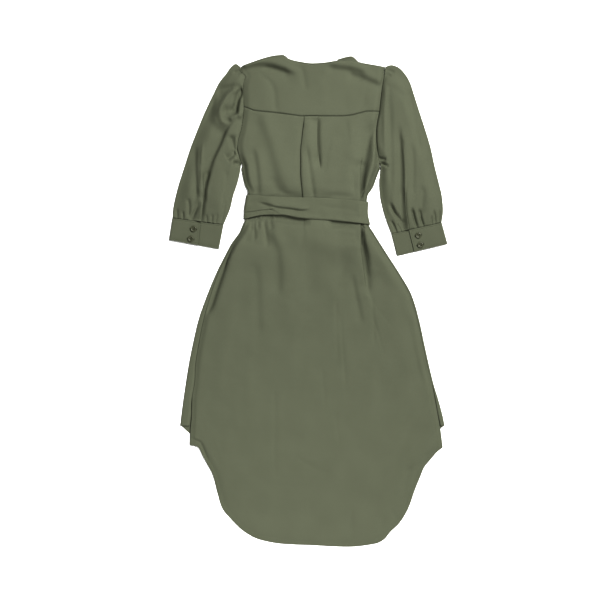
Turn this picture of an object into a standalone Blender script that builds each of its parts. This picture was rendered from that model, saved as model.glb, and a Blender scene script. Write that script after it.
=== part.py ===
"""A wrap dress laid flat on its front, with its back side up.

It has a shaped back yoke over a box pleat, puffed three-quarter sleeves gathered into buttoned cuffs, a tie
sash round the waist and a shirt-tail hem that is longer at the back. Every piece that is cut and sewn is its
own wall of cloth. The pieces lie on each other as they do on a table: the sash's front stretch and the two
fronts beneath, then the back, and the sash's back stretch on top.

Places are in millimetres: across runs to the right from the middle, down runs from the neck to the hem.
"""

import math
from collections import namedtuple

import bpy
import numpy as np

MM = 0.001

# Driving sizes
LENGTH = 1229.7
CLOTH = 1.2
GAP = 0.3
SEAM = 0.45
LAYER = CLOTH + GAP
FLOOR_LEVEL = CLOTH / 2
BACK_LEVEL = 4.0
CUFF_CLOTH = 1.6
BUTTON_DIAMETER = 15.0
BUTTON_THICKNESS = 2.6

# The box pleat and the deep fold at the waist are laps: three layers, this far apart
LAP_PITCH = 1.6

# How far the waist rows slope over the body's width, as the sash does
WAIST_TILT = 19.0
WAIST_WIDTH = 310.0
WAIST_START = 278.0
WAIST_START_FADE = 60.0
WAIST_END = 442.0
WAIST_END_FADE = 100.0

# How far beyond a piece the layers over it stay up, and the length over which they then come down
SASH_MARGIN = 10.0
SASH_FADE = 26.0
OVERLAP_MARGIN = 30.0
OVERLAP_FADE = 45.0
TAIL_START = 850.0
TAIL_MARGIN = 34.0
TAIL_FADE = 60.0

Armhole = namedtuple("Armhole", "left_down left right_down right")
ARMHOLE = [
    Armhole(30, -169.0, 30, 192.0),
    Armhole(45, -164.0, 45, 190.0),
    Armhole(55, -157.0, 58, 188.5),
    Armhole(78, -162.0, 78, 185.0),
    Armhole(104, -161.0, 104, 181.5),
    Armhole(130, -160.5, 142, 177.0),
    Armhole(168, -164.0, 168, 172.0),
    Armhole(190, -168.0, 190, 169.5),
    Armhole(211, -174.0, 211, 170.0),
    Armhole(231, -176.0, 231, 171.5),
    Armhole(254, -172.0, 254, 175.0),
    Armhole(278, -163.5, 278, 178.5),
]
YOKE_END = 5
UNDERARM = ARMHOLE[-1].left_down

# The body's outline below the arms, and the strips of the fronts that turn onto the back
Body = namedtuple("Body", "down left right strip_left strip_right")
BODY = [
    Body(278, -168.0, 182.0, 3, 3),
    Body(308, -163.0, 170.0, 3, 3),
    Body(328, -157.5, 163.0, 3, 3),
    Body(338, -152.0, 157.0, 3, 3),
    Body(352, -150.5, 148.0, 3, 3),
    Body(382, -152.5, 145.0, 3, 3),
    Body(405, -155.5, 146.0, 3, 3),
    Body(424, -163.0, 150.0, 3, 3),
    Body(442, -171.0, 161.0, 3, 3),
    Body(472, -192.0, 180.0, 3, 3),
    Body(502, -208.0, 199.0, 3, 3),
    Body(542, -228.0, 225.0, 4, 3),
    Body(602, -253.0, 259.0, 8, 3),
    Body(662, -274.0, 277.0, 12, 4),
    Body(722, -288.0, 290.0, 14, 4),
    Body(772, -298.0, 301.0, 16, 4),
    Body(822, -306.0, 313.0, 21, 3),
    Body(860, -311.5, 324.5, 20, 7),
    Body(905, -317.5, 336.5, 24, 11),
    Body(927, -320.0, 341.0, 23, 11),
]
SLIT_TOP = 822

# Rows of the body between the yoke and the slits, by how far down they lie
BODY_ROWS = [
    168, 190, 211, 231, 254, 278, 308, 338, 352, 382, 415, 442, 472, 502, 542, 602, 662, 722, 772, 822,
]  # fmt: skip
WAIST_ROWS = [338, 352, 382, 415, 442]
TAIL_ROWS = [0.12, 0.25, 0.38, 0.51, 0.64, 0.76, 0.87, 0.95, 1.0]

Point = namedtuple("Point", "down across")
YOKE_SEAM = [
    Point(130, -161),
    Point(136, -146),
    Point(140, -135),
    Point(145, -88),
    Point(151, -40),
    Point(154, -15),
    Point(154, 80),
    Point(152, 106),
    Point(146, 130),
    Point(142, 148),
    Point(142, 178),
]
YOKE_TOP = [
    Point(30, -169),
    Point(25, -160),
    Point(0, -64),
    Point(11, -46),
    Point(17, -21),
    Point(21, 9),
    Point(19, 42),
    Point(15, 67),
    Point(11, 102),
    Point(14, 117),
    Point(18, 127),
    Point(30, 192),
]
BACK_SLIT_LEFT = [
    Point(822, -284.5), Point(860, -290.5), Point(905, -292), Point(938, -295), Point(975, -296),
]  # fmt: skip
BACK_SLIT_RIGHT = [
    Point(822, 309.5), Point(860, 316.5), Point(905, 324.5), Point(932, 329.5), Point(981, 336),
]  # fmt: skip
BACK_HEM = [
    Point(975, -296),
    Point(980, -276),
    Point(1002, -264),
    Point(1022, -253),
    Point(1052, -238),
    Point(1092, -228),
    Point(1132, -216),
    Point(1162, -192),
    Point(1192, -160),
    Point(1212, -121),
    Point(1223, -60),
    Point(1226, 9),
    Point(1230, 99),
    Point(1222, 169),
    Point(1212, 189),
    Point(1192, 206),
    Point(1172, 227),
    Point(1132, 251),
    Point(1092, 265),
    Point(1052, 281),
    Point(1032, 289),
    Point(1012, 305),
    Point(992, 322),
    Point(981, 336),
]

# The fronts: their free edges from the neck to the slits' height, then their hems to the side corners
OVER_EDGE = [
    Point(3, -59),
    Point(25, -42),
    Point(60, -30),
    Point(110, -12),
    Point(165, 12),
    Point(230, 50),
    Point(300, 92),
    Point(352, 118),
    Point(415, 128),
    Point(542, 134),
    Point(700, 140),
    Point(822, 138),
]
OVER_HEM = [
    Point(900, 113),
    Point(965, 67),
    Point(1005, 25),
    Point(1027, -20),
    Point(1030, -80),
    Point(1015, -150),
    Point(985, -230),
    Point(946, -296),
    Point(927, -317),
]
UNDER_EDGE = [
    Point(10, 74),
    Point(25, 64),
    Point(60, 52),
    Point(110, 32),
    Point(165, 10),
    Point(230, -25),
    Point(300, -65),
    Point(352, -95),
    Point(415, -116),
    Point(542, -124),
    Point(700, -130),
    Point(822, -128),
]
UNDER_HEM = [
    Point(900, -105),
    Point(965, -62),
    Point(1005, -20),
    Point(1027, 25),
    Point(1030, 85),
    Point(1015, 160),
    Point(988, 240),
    Point(950, 312),
    Point(927, 338),
]
OVER_TOP = [Point(3, -59), Point(3.5, -66), Point(26.5, -160), Point(33, -168)]
UNDER_TOP = [Point(10, 74), Point(2.5, 107), Point(19, 130), Point(33, 191)]
FRONT_ARM_ROWS = [60, 100, 145, 190, 231, 278]
FRONT_TAIL_ROWS = [0.2, 0.4, 0.6, 0.8, 1.0]

SASH_TOP = [Point(349, -160), Point(356, -50), Point(358, 47), Point(368, 155)]
SASH_BOTTOM = [
    Point(410, -160),
    Point(400, -105),
    Point(400, -68),
    Point(408, -22),
    Point(415, 70),
    Point(424, 155),
]
SASH_LEFT = [Point(349, -154), Point(367, -157.5), Point(382, -160), Point(410, -161)]
SASH_RIGHT = [Point(368, 150), Point(395, 149), Point(424, 154.5)]

SLEEVE_LEFT_OUTER = [
    Point(29, -171),
    Point(22, -181),
    Point(29, -192),
    Point(48, -206),
    Point(68, -222),
    Point(98, -237),
    Point(142, -258),
    Point(188, -277),
    Point(232, -294),
    Point(278, -309),
    Point(322, -323),
    Point(352, -331),
    Point(388, -338),
    Point(407, -339),
]
SLEEVE_LEFT_INNER = [
    Point(272, -168.5),
    Point(292, -171),
    Point(322, -178),
    Point(352, -188),
    Point(382, -195),
    Point(412, -207),
    Point(423, -212),
]
SLEEVE_RIGHT_OUTER = [
    Point(29, 194),
    Point(25, 207),
    Point(29, 222),
    Point(45, 240),
    Point(68, 254),
    Point(98, 264),
    Point(142, 278),
    Point(188, 293),
    Point(232, 306),
    Point(278, 316),
    Point(322, 327),
    Point(352, 334),
    Point(388, 337),
    Point(418, 333),
]
SLEEVE_RIGHT_INNER = [
    Point(274, 183),
    Point(292, 180.5),
    Point(322, 178),
    Point(352, 180),
    Point(382, 186),
    Point(418, 197),
    Point(446, 208),
]
SLEEVE_ROWS = [
    0, 0.02, 0.045, 0.08, 0.13, 0.19, 0.26, 0.34, 0.43, 0.52, 0.61, 0.7, 0.79, 0.87, 0.93, 0.97, 1.0,
]  # fmt: skip

Cuff = namedtuple("Cuff", "outer_top outer_bottom inner_top inner_bottom lap_top lap_bottom buttons")
CUFF_LEFT = Cuff(
    Point(408, -339.5),
    Point(462, -348),
    Point(424, -212),
    Point(485, -224),
    0.55,
    0.585,
    [Point(435, -287), Point(460, -294)],
)
CUFF_RIGHT = Cuff(
    Point(419, 333.5),
    Point(472, 348),
    Point(447, 208),
    Point(502, 222),
    0.655,
    0.66,
    [Point(451, 275), Point(475, 280)],
)

# A fold is a soft ridge of this height and half width along a line of points
Fold = namedtuple("Fold", "height half_width line")
BACK_FOLDS = [
    Fold(2.4, 14, [Point(160, -118), Point(250, -112), Point(345, -122)]),
    Fold(1.8, 14, [Point(285, -62), Point(350, -70)]),
    Fold(2.0, 12, [Point(165, 150), Point(250, 140), Point(330, 112)]),
    Fold(2.6, 10, [Point(440, -178), Point(500, -199), Point(575, -222), Point(650, -250)]),
    Fold(2.0, 14, [Point(420, -105), Point(500, -122), Point(560, -120)]),
    Fold(1.8, 18, [Point(430, -55), Point(500, -60), Point(590, -72)]),
    Fold(2.2, 20, [Point(530, -135), Point(680, -140), Point(760, -140)]),
    Fold(1.4, 22, [Point(850, -98), Point(960, -98), Point(1060, -100)]),
    Fold(1.8, 20, [Point(430, 60), Point(560, 66), Point(700, 74), Point(800, 84)]),
    Fold(2.0, 16, [Point(560, 196), Point(640, 215), Point(740, 240)]),
    Fold(2.2, 20, [Point(600, 240), Point(700, 262), Point(830, 284)]),
    Fold(1.6, 14, [Point(1120, 205), Point(1180, 195), Point(1215, 175)]),
    Fold(1.4, 16, [Point(1120, 90), Point(1180, 96), Point(1220, 98)]),
]
YOKE_FOLDS = [
    Fold(1.8, 10, [Point(8, -110), Point(22, -80), Point(40, -50)]),
    Fold(1.6, 14, [Point(55, -95), Point(100, -85), Point(140, -88)]),
    Fold(1.6, 10, [Point(22, 85), Point(40, 120), Point(60, 160)]),
]
SLEEVE_LEFT_FOLDS = [
    Fold(3.0, 9, [Point(40, -176), Point(56, -192), Point(76, -204)]),
    Fold(2.4, 6, [Point(36, -171), Point(44, -182)]),
    Fold(3.2, 10, [Point(84, -168), Point(104, -190), Point(136, -216), Point(168, -204), Point(150, -178)]),
    Fold(2.6, 12, [Point(150, -180), Point(190, -190), Point(240, -196)]),
    Fold(3.4, 11, [Point(178, -206), Point(227, -228), Point(270, -247), Point(320, -267), Point(420, -280)]),
    Fold(2.4, 12, [Point(230, -272), Point(300, -292), Point(380, -306)]),
    Fold(2.4, 14, [Point(260, -200), Point(320, -215), Point(400, -236)]),
    Fold(2.6, 6, [Point(380, -328), Point(408, -326)]),
    Fold(2.6, 6, [Point(372, -308), Point(410, -309)]),
    Fold(2.4, 6, [Point(378, -290), Point(412, -293)]),
    Fold(2.4, 6, [Point(388, -248), Point(418, -251)]),
    Fold(2.2, 6, [Point(392, -228), Point(420, -231)]),
]
SLEEVE_RIGHT_FOLDS = [
    Fold(2.8, 9, [Point(38, 198), Point(54, 216), Point(74, 228)]),
    Fold(2.4, 8, [Point(52, 194), Point(80, 204), Point(120, 212)]),
    Fold(2.6, 12, [Point(90, 196), Point(150, 206), Point(210, 210)]),
    Fold(3.4, 11, [Point(150, 262), Point(230, 254), Point(330, 253), Point(425, 258)]),
    Fold(2.6, 12, [Point(190, 284), Point(280, 294), Point(370, 304)]),
    Fold(2.4, 14, [Point(250, 206), Point(330, 212), Point(420, 226)]),
    Fold(2.6, 6, [Point(388, 322), Point(420, 324)]),
    Fold(2.6, 6, [Point(384, 304), Point(424, 307)]),
    Fold(2.8, 6, [Point(380, 284), Point(428, 289)]),
    Fold(2.4, 6, [Point(404, 240), Point(436, 243)]),
    Fold(2.2, 6, [Point(414, 222), Point(440, 225)]),
]

# A lap is a stretch of three layers: where its upper edge runs, how deep the cloth goes under, how closed it
# is from 0 (open) to 1 (folded), and its height, as a share of two layers
Lap = namedtuple("Lap", "down edge depth closed lift")
PLEAT_LEFT = [
    Lap(130, -8, 12, 1, 1),
    Lap(227, -14, 10, 1, 1),
    Lap(269, -15, 8, 1, 1),
    Lap(338, -10, 5, 0.8, 0.9),
    Lap(415, -8, 2, 0.3, 0.7),
    Lap(472, -6, 0, 0, 0.5),
    Lap(602, -4, 0, 0, 0.2),
    Lap(722, 0, 0, 0, 0),
]
PLEAT_RIGHT = [
    Lap(130, 22, 12, 1, 1),
    Lap(198, 22, 10, 1, 1),
    Lap(254, 25, 5, 0.7, 0.9),
    Lap(308, 25, 1, 0.2, 0.6),
    Lap(352, 24, 0, 0, 0.4),
    Lap(472, 26, 0, 0, 0.3),
    Lap(602, 28, 0, 0, 0.2),
    Lap(722, 0, 0, 0, 0),
]
WAIST_LAP = [
    Lap(211, 158, 0, 0, 0),
    Lap(278, 154, 0, 0, 0.4),
    Lap(308, 146, 2, 0.4, 0.7),
    Lap(352, 134, 6, 1, 1),
    Lap(420, 129, 6, 1, 1),
    Lap(484, 128, 6, 1, 1),
    Lap(542, 143, 3, 0.6, 0.9),
    Lap(602, 165, 0, 0, 0.6),
    Lap(722, 195, 0, 0, 0.25),
    Lap(822, 220, 0, 0, 0),
]
WAIST_LAP_SHOULDER = 60.0
# The cross-section of a lap from its low side to its high side: depths and half layers past the edge, and
# layers up
LapPoint = namedtuple("LapPoint", "depths halves layers open_layers")
LAP_SECTION = [
    LapPoint(1, -3, 0, 0),
    LapPoint(1, 0, 0, 0.15),
    LapPoint(1, 1, 0.5, 0.45),
    LapPoint(1, 0, 1, 0.8),
    LapPoint(0, 0, 1, 1.2),
    LapPoint(0, -1, 1.5, 1.55),
    LapPoint(0, 0, 2, 1.85),
    LapPoint(0, 5, 2, 2),
]

# Columns of the back, as shares of its width when it is spread open
SIDE_COLUMNS = [0, 0.023, 0.06, 0.115, 0.165, 0.205, 0.247, 0.291, 0.347, 0.405]
PLEAT_LEFT_SHARE = 0.475
PLEAT_MIDDLE = 0.531
PLEAT_RIGHT_SHARE = 0.587
RIGHT_COLUMNS = [0.665, 0.70, 0.755, 0.80]
WAIST_LAP_SHARE = 0.872
LAST_COLUMNS = [0.95, 0.98, 1.0]
LAP_STEP = 0.012
YOKE_MIDDLE_COLUMNS = [PLEAT_LEFT_SHARE, PLEAT_MIDDLE, PLEAT_RIGHT_SHARE]
YOKE_COLUMNS = SIDE_COLUMNS + YOKE_MIDDLE_COLUMNS + RIGHT_COLUMNS + [0.83, 0.87, 0.914] + LAST_COLUMNS

# A fold fades over this share of its length at each end, and to this share of its height beside a seam
FOLD_FADE = 0.22
SEAM_CALM = 0.4
CUFF_CALM = 0.3
# Shares of a piece's width over which its folds start from nothing at its sides
BACK_LEFT_CALM = 0.06
BACK_RIGHT_CALM = 0.04
YOKE_SIDE_CALM = 0.06
SLEEVE_SIDE_CALM = 0.08
# How sharply a correction at a row's end dies away towards its middle
HEM_CORNER_POWER = 6
YOKE_CORNER_POWER = 8

ROLL_ANGLES = [45, 90, 135]
YOKE_TURNING = 7.0
FRONT_COLUMNS = 9
ARM_SQUEEZE = 0.2
ARM_EASE = 0.3
SLEEVE_UNDER_COLUMNS = 4
SLEEVE_DROP = 0.9
SLEEVE_DROP_REACH = 0.25
UNDERARM_SHARE = 0.75
BEND_REACH = 0.3
INNER_EASE = 1.6
SASH_COLUMNS = 26
SASH_ROWS = 5
SASH_UNDER_COLUMNS = 6
# The sash rides over the highest place within this reach, softened over the next, and clears it by this much
SASH_REACH = 13.0
SASH_SOFTENING = 8.0
SASH_CLEARANCE = 0.2
SASH_SAMPLES = 240
ROW_SAMPLES = 6


def smooth(share):
    """0 below 0 and 1 above 1, with a soft S between."""
    held = np.clip(share, 0, 1)
    return held * held * (3 - 2 * held)


def column(table, name):
    return np.array([getattr(row, name) for row in table], float)


def read(table, down, name):
    """A named column of a table at a place down the dress, straight between its rows."""
    return np.interp(down, column(table, "down"), column(table, name))


def spots_of(line):
    """A line of points as an array of (across, down)."""
    return np.array([(point.across, point.down) for point in line], float)


def run(line, shares):
    """The points that lie at these shares of a line's length."""
    spots = spots_of(line)
    lengths = np.concatenate([[0], np.cumsum(np.linalg.norm(np.diff(spots, axis=0), axis=1))])
    at = np.asarray(shares, float) * lengths[-1]
    return np.stack([np.interp(at, lengths, spots[:, 0]), np.interp(at, lengths, spots[:, 1])], axis=-1)


def down_at(line, across):
    """How far down a line lies at a place across."""
    spots = spots_of(line)
    return np.interp(across, spots[:, 0], spots[:, 1])


def nearest(spots, line):
    """Each spot's distance to a line of (across, down), and how far along the line its nearest point is."""
    steps = np.diff(line, axis=0)
    lengths = np.linalg.norm(steps, axis=1)
    starts = np.concatenate([[0], np.cumsum(lengths)])
    best = np.full(spots.shape[:-1], 1e9)
    share = np.zeros(spots.shape[:-1])
    for start, step, length, before in zip(line, steps, lengths, starts):
        along = np.clip(((spots - start) @ step) / (length * length), 0, 1)
        distance = np.linalg.norm(spots - start - along[..., None] * step, axis=-1)
        closer = distance < best
        best = np.where(closer, distance, best)
        share = np.where(closer, (before + along * length) / starts[-1], share)
    return best, share


def relief(folds, spots):
    """The height that the folds add at each spot."""
    height = np.zeros(spots.shape[:-1])
    for fold in folds:
        distance, share = nearest(spots, spots_of(fold.line))
        fade = smooth(np.minimum(share, 1 - share) / FOLD_FADE)
        height = np.maximum(height, fold.height * fade * np.exp(-((distance / fold.half_width) ** 2)))
    return height


def outside(spots, line):
    """Each spot's distance outside a closed outline, 0 within it."""
    ring = np.vstack([spots_of(line), spots_of(line)[:1]])
    distance = nearest(spots, ring)[0]
    x, y = spots[..., 0], spots[..., 1]
    within = np.zeros(spots.shape[:-1], bool)
    for (ax, ay), (bx, by) in zip(ring[:-1], ring[1:]):
        crosses = (ay > y) != (by > y)
        reach = ax + (y - ay) / np.where(by == ay, 1e-9, by - ay) * (bx - ax)
        within ^= crosses & (x < reach)
    return np.where(within, 0, distance)


def near_waist(down):
    begun = smooth((down - WAIST_START) / WAIST_START_FADE)
    return begun * (1 - smooth((down - WAIST_END) / WAIST_END_FADE))


def over_sash(spots):
    """1 over the sash's front stretch and just beside it, 0 away from it."""
    across, down = spots[..., 0], spots[..., 1]
    above = down_at(SASH_TOP, across) - down
    below = down - down_at(SASH_BOTTOM, across)
    return 1 - smooth((np.maximum(above, below) - SASH_MARGIN) / SASH_FADE)


def roll(edge, inward, high, low):
    """The points of a rounded fold, from its top tangent to its bottom one, that reaches just to the edge."""
    radius = (high - low) / 2
    points = []
    for degrees in [0] + ROLL_ANGLES + [180]:
        angle = math.radians(degrees)
        spot = edge + inward * (radius + CLOTH / 2 - radius * math.sin(angle))
        points.append((*spot, high - radius * (1 - math.cos(angle))))
    return points


def unit(vector):
    return vector / np.linalg.norm(vector)


# Where the fronts lie, as closed outlines


def armhole_spots(side):
    """The armhole seam from the shoulder to the underarm, as (across, down)."""
    return np.stack([column(ARMHOLE, side), column(ARMHOLE, side + "_down")], axis=-1)


def front_outline(edge, hem, side):
    body = [Point(row.down, getattr(row, side)) for row in BODY]
    shoulder = armhole_spots(side)[0]
    return edge + hem + body[::-1] + [Point(shoulder[1], shoulder[0])]


OVER_OUTLINE = front_outline(OVER_EDGE, OVER_HEM, "left")
UNDER_OUTLINE = front_outline(UNDER_EDGE, UNDER_HEM, "right")


def over_level(spots):
    return FLOOR_LEVEL + LAYER * over_sash(spots)


def under_level(spots):
    near = 1 - smooth((outside(spots, OVER_OUTLINE) - OVERLAP_MARGIN) / OVERLAP_FADE)
    return over_level(spots) + LAYER * near


def back_level(spots):
    clear = np.minimum(outside(spots, OVER_OUTLINE), outside(spots, UNDER_OUTLINE))
    tail = smooth((clear - TAIL_MARGIN) / TAIL_FADE) * smooth((spots[..., 1] - TAIL_START) / TAIL_FADE)
    return BACK_LEVEL + LAYER * over_sash(spots) - (BACK_LEVEL - FLOOR_LEVEL) * tail


# Meshes


def collection_named(name):
    made = bpy.data.collections.new(name)
    bpy.context.scene.collection.children.link(made)
    return made


def material_named(name, colour, roughness):
    made = bpy.data.materials.new(name)
    made.use_nodes = True
    shader = made.node_tree.nodes["Principled BSDF"]
    shader.inputs["Base Color"].default_value = (*colour, 1.0)
    shader.inputs["Roughness"].default_value = roughness
    shader.inputs["Metallic"].default_value = 0.0
    return made


def place(spot):
    """A point of the laid-out dress as metres in the model."""
    across, down, height = spot
    return across * MM, (LENGTH / 2 - down) * MM, height * MM


def sheet(name, grid, material, looped=False, wall=CLOTH):
    """A wall of cloth through a grid of points; looped joins each row's last point to its first."""
    rows, columns = len(grid), len(grid[0])
    vertices = [place(spot) for row in grid for spot in row]
    faces = []
    for row in range(rows - 1):
        for at in range(columns if looped else columns - 1):
            beside = (at + 1) % columns
            faces.append(
                (
                    row * columns + at,
                    row * columns + beside,
                    (row + 1) * columns + beside,
                    (row + 1) * columns + at,
                )
            )
    mesh = bpy.data.meshes.new(name)
    mesh.from_pydata(vertices, [], faces)
    mesh.materials.append(material)
    mesh.shade_smooth()
    made = bpy.data.objects.new(name, mesh)
    PIECES.objects.link(made)
    solid = made.modifiers.new("wall", "SOLIDIFY")
    solid.thickness = wall * MM
    solid.offset = 0
    solid.use_rim = True
    return made


# The back


def lap_columns(share, mirrored):
    """The open shares of a lap's columns, and the points of its section in the same order."""
    middle = (len(LAP_SECTION) - 1) / 2
    shares = [share + LAP_STEP * (at - middle) for at in range(len(LAP_SECTION))]
    section = LAP_SECTION[::-1] if mirrored else LAP_SECTION
    return list(zip(shares, section))


def back_columns():
    """Every column of the back as (share, lap table or None, its point in the lap, side that is raised)."""
    columns = [(share, None, None, 0) for share in SIDE_COLUMNS]
    columns += [(share, PLEAT_LEFT, point, 1) for share, point in lap_columns(PLEAT_LEFT_SHARE, False)]
    columns += [(PLEAT_MIDDLE, None, None, 0)]
    columns += [(share, PLEAT_RIGHT, point, -1) for share, point in lap_columns(PLEAT_RIGHT_SHARE, True)]
    columns += [(share, None, None, 0) for share in RIGHT_COLUMNS]
    columns += [(share, WAIST_LAP, point, -1) for share, point in lap_columns(WAIST_LAP_SHARE, True)]
    columns += [(share, None, None, 0) for share in LAST_COLUMNS]
    return columns


def back_edge(down, side):
    """How far across the back's side edge lies."""
    sign = 1 if side == "left" else -1
    if down <= UNDERARM:
        seam = armhole_spots(side)
        return float(np.interp(down, seam[:, 1], seam[:, 0]))
    if down <= SLIT_TOP:
        return float(read(BODY, down, side) + sign * (read(BODY, down, "strip_" + side) + SEAM))
    slit = BACK_SLIT_LEFT if side == "left" else BACK_SLIT_RIGHT
    return float(np.interp(down, column(slit, "down"), column(slit, "across")))


def side_down(down, side):
    """A row's own height at a side, where the waist rows slope with the sash."""
    sign = -1 if side == "left" else 1
    return float(down + sign * WAIST_TILT / 2 * near_waist(down))


def open_row(down, shares):
    """A row of the back, spread open, as an array of (across, down)."""
    left_down, right_down = side_down(down, "left"), side_down(down, "right")
    left, right = back_edge(left_down, "left"), back_edge(right_down, "right")
    return np.stack([left + (right - left) * shares, left_down + (right_down - left_down) * shares], axis=-1)


def seam_row(shares, gap):
    """The yoke seam from armhole to armhole, moved down by a gap."""
    left, right = armhole_spots("left")[YOKE_END], armhole_spots("right")[YOKE_END]
    across = left[0] + (right[0] - left[0]) * shares
    return np.stack([across, down_at(YOKE_SEAM, across) + gap], axis=-1)


def tail_row(share, shares):
    """A row between the slits' height and the hem."""
    high = open_row(SLIT_TOP, shares)
    low = run(BACK_HEM, shares)
    row = high + (low - high) * share
    for side, weight in (("left", (1 - shares) ** HEM_CORNER_POWER), ("right", shares**HEM_CORNER_POWER)):
        corner = BACK_HEM[0] if side == "left" else BACK_HEM[-1]
        down = SLIT_TOP + (corner.down - SLIT_TOP) * share
        straight = row[0 if side == "left" else -1]
        row = row + weight[:, None] * (np.array([back_edge(down, side), down]) - straight)
    return row


def back_grid():
    """The middle surface of the back, from the yoke seam to the hem."""
    columns = back_columns()
    shares = np.array([share for share, *_ in columns])
    top = seam_row(shares, SEAM / 2)
    rows = [top] + [open_row(down, shares) for down in BODY_ROWS]
    rows += [tail_row(share, shares) for share in TAIL_ROWS]
    grid = []
    for number, row in enumerate(rows):
        down = float(row[:, 1].mean())
        laps = [(read_lap(table, down), table) for table in (PLEAT_LEFT, PLEAT_RIGHT, WAIST_LAP)]
        values = {id(table): lap for lap, table in laps}
        raised = raised_by_laps([lap for lap, _ in laps], row[:, 0])
        for at, (_, table, point, side) in enumerate(columns):
            if table is not None:
                lap = values[id(table)]
                across = lap.edge + side * (point.depths * lap.depth + point.halves * LAP_PITCH / 2)
                row[at, 0] += lap.closed * (across - row[at, 0])
                layers = lap.closed * point.layers + (1 - lap.closed) * point.open_layers
                raised[at] = layers * LAP_PITCH * lap.lift
        if number == 0:
            row[:, 1] = down_at(YOKE_SEAM, row[:, 0]) + SEAM / 2
        soft = smooth(shares / BACK_LEFT_CALM) * smooth((1 - shares) / BACK_RIGHT_CALM)
        calm = SEAM_CALM if number == 0 else 1
        level = back_level(row) + relief(BACK_FOLDS, row) * soft * calm + raised
        grid.append([(across, down, height) for (across, down), height in zip(row, level)])
    return grid


def read_lap(table, down):
    return Lap(down, *(float(read(table, down, name)) for name in Lap._fields[1:]))


def raised_by_laps(laps, across):
    """How much the laps lift the plain columns: the box pleat's strip and the waist lap's shoulder."""
    left, right, waist = laps
    strip = (across > left.edge) & (across < right.edge)
    pleat = np.where(strip, LAP_PITCH * (left.lift + right.lift), 0)
    shoulder = 1 - smooth((waist.edge - across) / WAIST_LAP_SHOULDER)
    return pleat + np.where(across < waist.edge, 2 * LAP_PITCH * waist.lift * shoulder, 0)


def make_back(material):
    grid = back_grid()
    sheet("back_panel", grid, material)
    return grid


# The yoke


def make_yoke(material):
    shares = np.array(YOKE_COLUMNS)
    left, right = armhole_spots("left"), armhole_spots("right")
    seam = seam_row(shares, -SEAM / 2)
    top = left[0] + (right[0] - left[0]) * shares[:, None]
    top[:, 1] = down_at(YOKE_TOP, top[:, 0])
    rows = [seam]
    for at in range(YOKE_END - 1, 0, -1):
        share = (left[YOKE_END, 1] - left[at, 1]) / (left[YOKE_END, 1] - left[0, 1])
        row = seam + (top - seam) * share
        from_left = (1 - shares[:, None]) ** YOKE_CORNER_POWER * (left[at] - row[0])
        from_right = shares[:, None] ** YOKE_CORNER_POWER * (right[at] - row[-1])
        row = row + from_left + from_right
        rows.append(row)
    soft = smooth(shares / YOKE_SIDE_CALM) * smooth((1 - shares) / YOKE_SIDE_CALM)
    grid = []
    for number, row in enumerate(rows):
        calm = SEAM_CALM if number == 0 else 1
        height = BACK_LEVEL + relief(YOKE_FOLDS, row) * soft * calm
        grid.append([(across, down, high) for (across, down), high in zip(row, height)])
    edge = np.vstack([2 * top[0] - top[1], top, 2 * top[-1] - top[-2]])
    turned = []
    for before, spot, after in zip(edge[:-2], edge[1:-1], edge[2:]):
        direction = unit(unit(spot - before) + unit(after - spot))
        inward = np.array([-direction[1], direction[0]])
        section = roll(spot, inward, BACK_LEVEL, FLOOR_LEVEL + LAYER)
        section.append((*(spot + inward * YOKE_TURNING), FLOOR_LEVEL + LAYER))
        turned.append(section)
    grid += [list(row) for row in zip(*turned)]
    sheet("back_yoke", grid, material)


# The fronts


def make_front(name, side, edge, hem, top, level, material):
    """One front: flat beneath, rolled up round the side fold, with a strip on the back to the side seam."""
    sign = 1 if side == "left" else -1
    inward = np.array([sign, 0.0])
    arm_top, arm_end = armhole_spots(side)[0], armhole_spots(side)[-1]
    flat = np.linspace(0, 1, FRONT_COLUMNS)
    folded = len(ROLL_ANGLES) + 3
    squeezed = np.linspace(1, 0, folded + 1)[1:]
    grid = []

    def flat_row(row):
        """A row above the underarm: the columns of the fold lie flat beside the armhole."""
        last, before = row[-1], row[-2]
        beside = [last + (before - last) * ARM_SQUEEZE * share for share in squeezed]
        spots = np.vstack([row[:-1], beside])
        heights = level(spots)
        grid.append([(across, down, height) for (across, down), height in zip(spots, heights)])

    def folded_row(start, down, bottom=None):
        fold = np.array([read(BODY, down, side), down])
        strip = float(read(BODY, down, "strip_" + side))
        seam = np.array([[fold[0] + sign * strip, down]])
        low = float(level(fold[None])[0])
        high = float(back_level(seam)[0])
        section = roll(fold, inward, high, low)[::-1]
        tangent = np.array(section[0][:2])
        spots = start + (tangent - start) * flat[:, None] if bottom is None else bottom(tangent)
        heights = level(spots[:-1])
        row = [(across, deep, height) for (across, deep), height in zip(spots[:-1], heights)]
        row += section
        row.append((fold[0] + sign * strip, section[-1][1], high))
        grid.append(row)

    flat_row(run(top, flat))
    for down in FRONT_ARM_ROWS:
        start = np.array([np.interp(down, column(edge, "down"), column(edge, "across")), down])
        share = (down - arm_top[1]) / (arm_end[1] - arm_top[1])
        end = arm_top + (arm_end - arm_top) * share + inward * (SEAM + ARM_EASE)
        flat_row(start + (end - start) * flat[:, None])
    for down in [row for row in BODY_ROWS if row > UNDERARM]:
        across = float(np.interp(down, column(edge, "down"), column(edge, "across")))
        tilted = down + WAIST_TILT * across / WAIST_WIDTH * near_waist(down)
        folded_row(np.array([across, tilted]), side_down(down, side))
    high_start = np.array([edge[-1].across, SLIT_TOP])
    for share in FRONT_TAIL_ROWS:
        down = SLIT_TOP + (hem[-1].down - SLIT_TOP) * share

        def bottom(tangent):
            high = high_start + (np.array([tangent[0], SLIT_TOP]) - high_start) * flat[:, None]
            spots = high + (run(hem, flat) - high) * share
            return spots + flat[:, None] ** HEM_CORNER_POWER * (tangent - spots[-1])

        folded_row(None, down, bottom)
    sheet(name, grid, material)


# The sleeves


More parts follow.
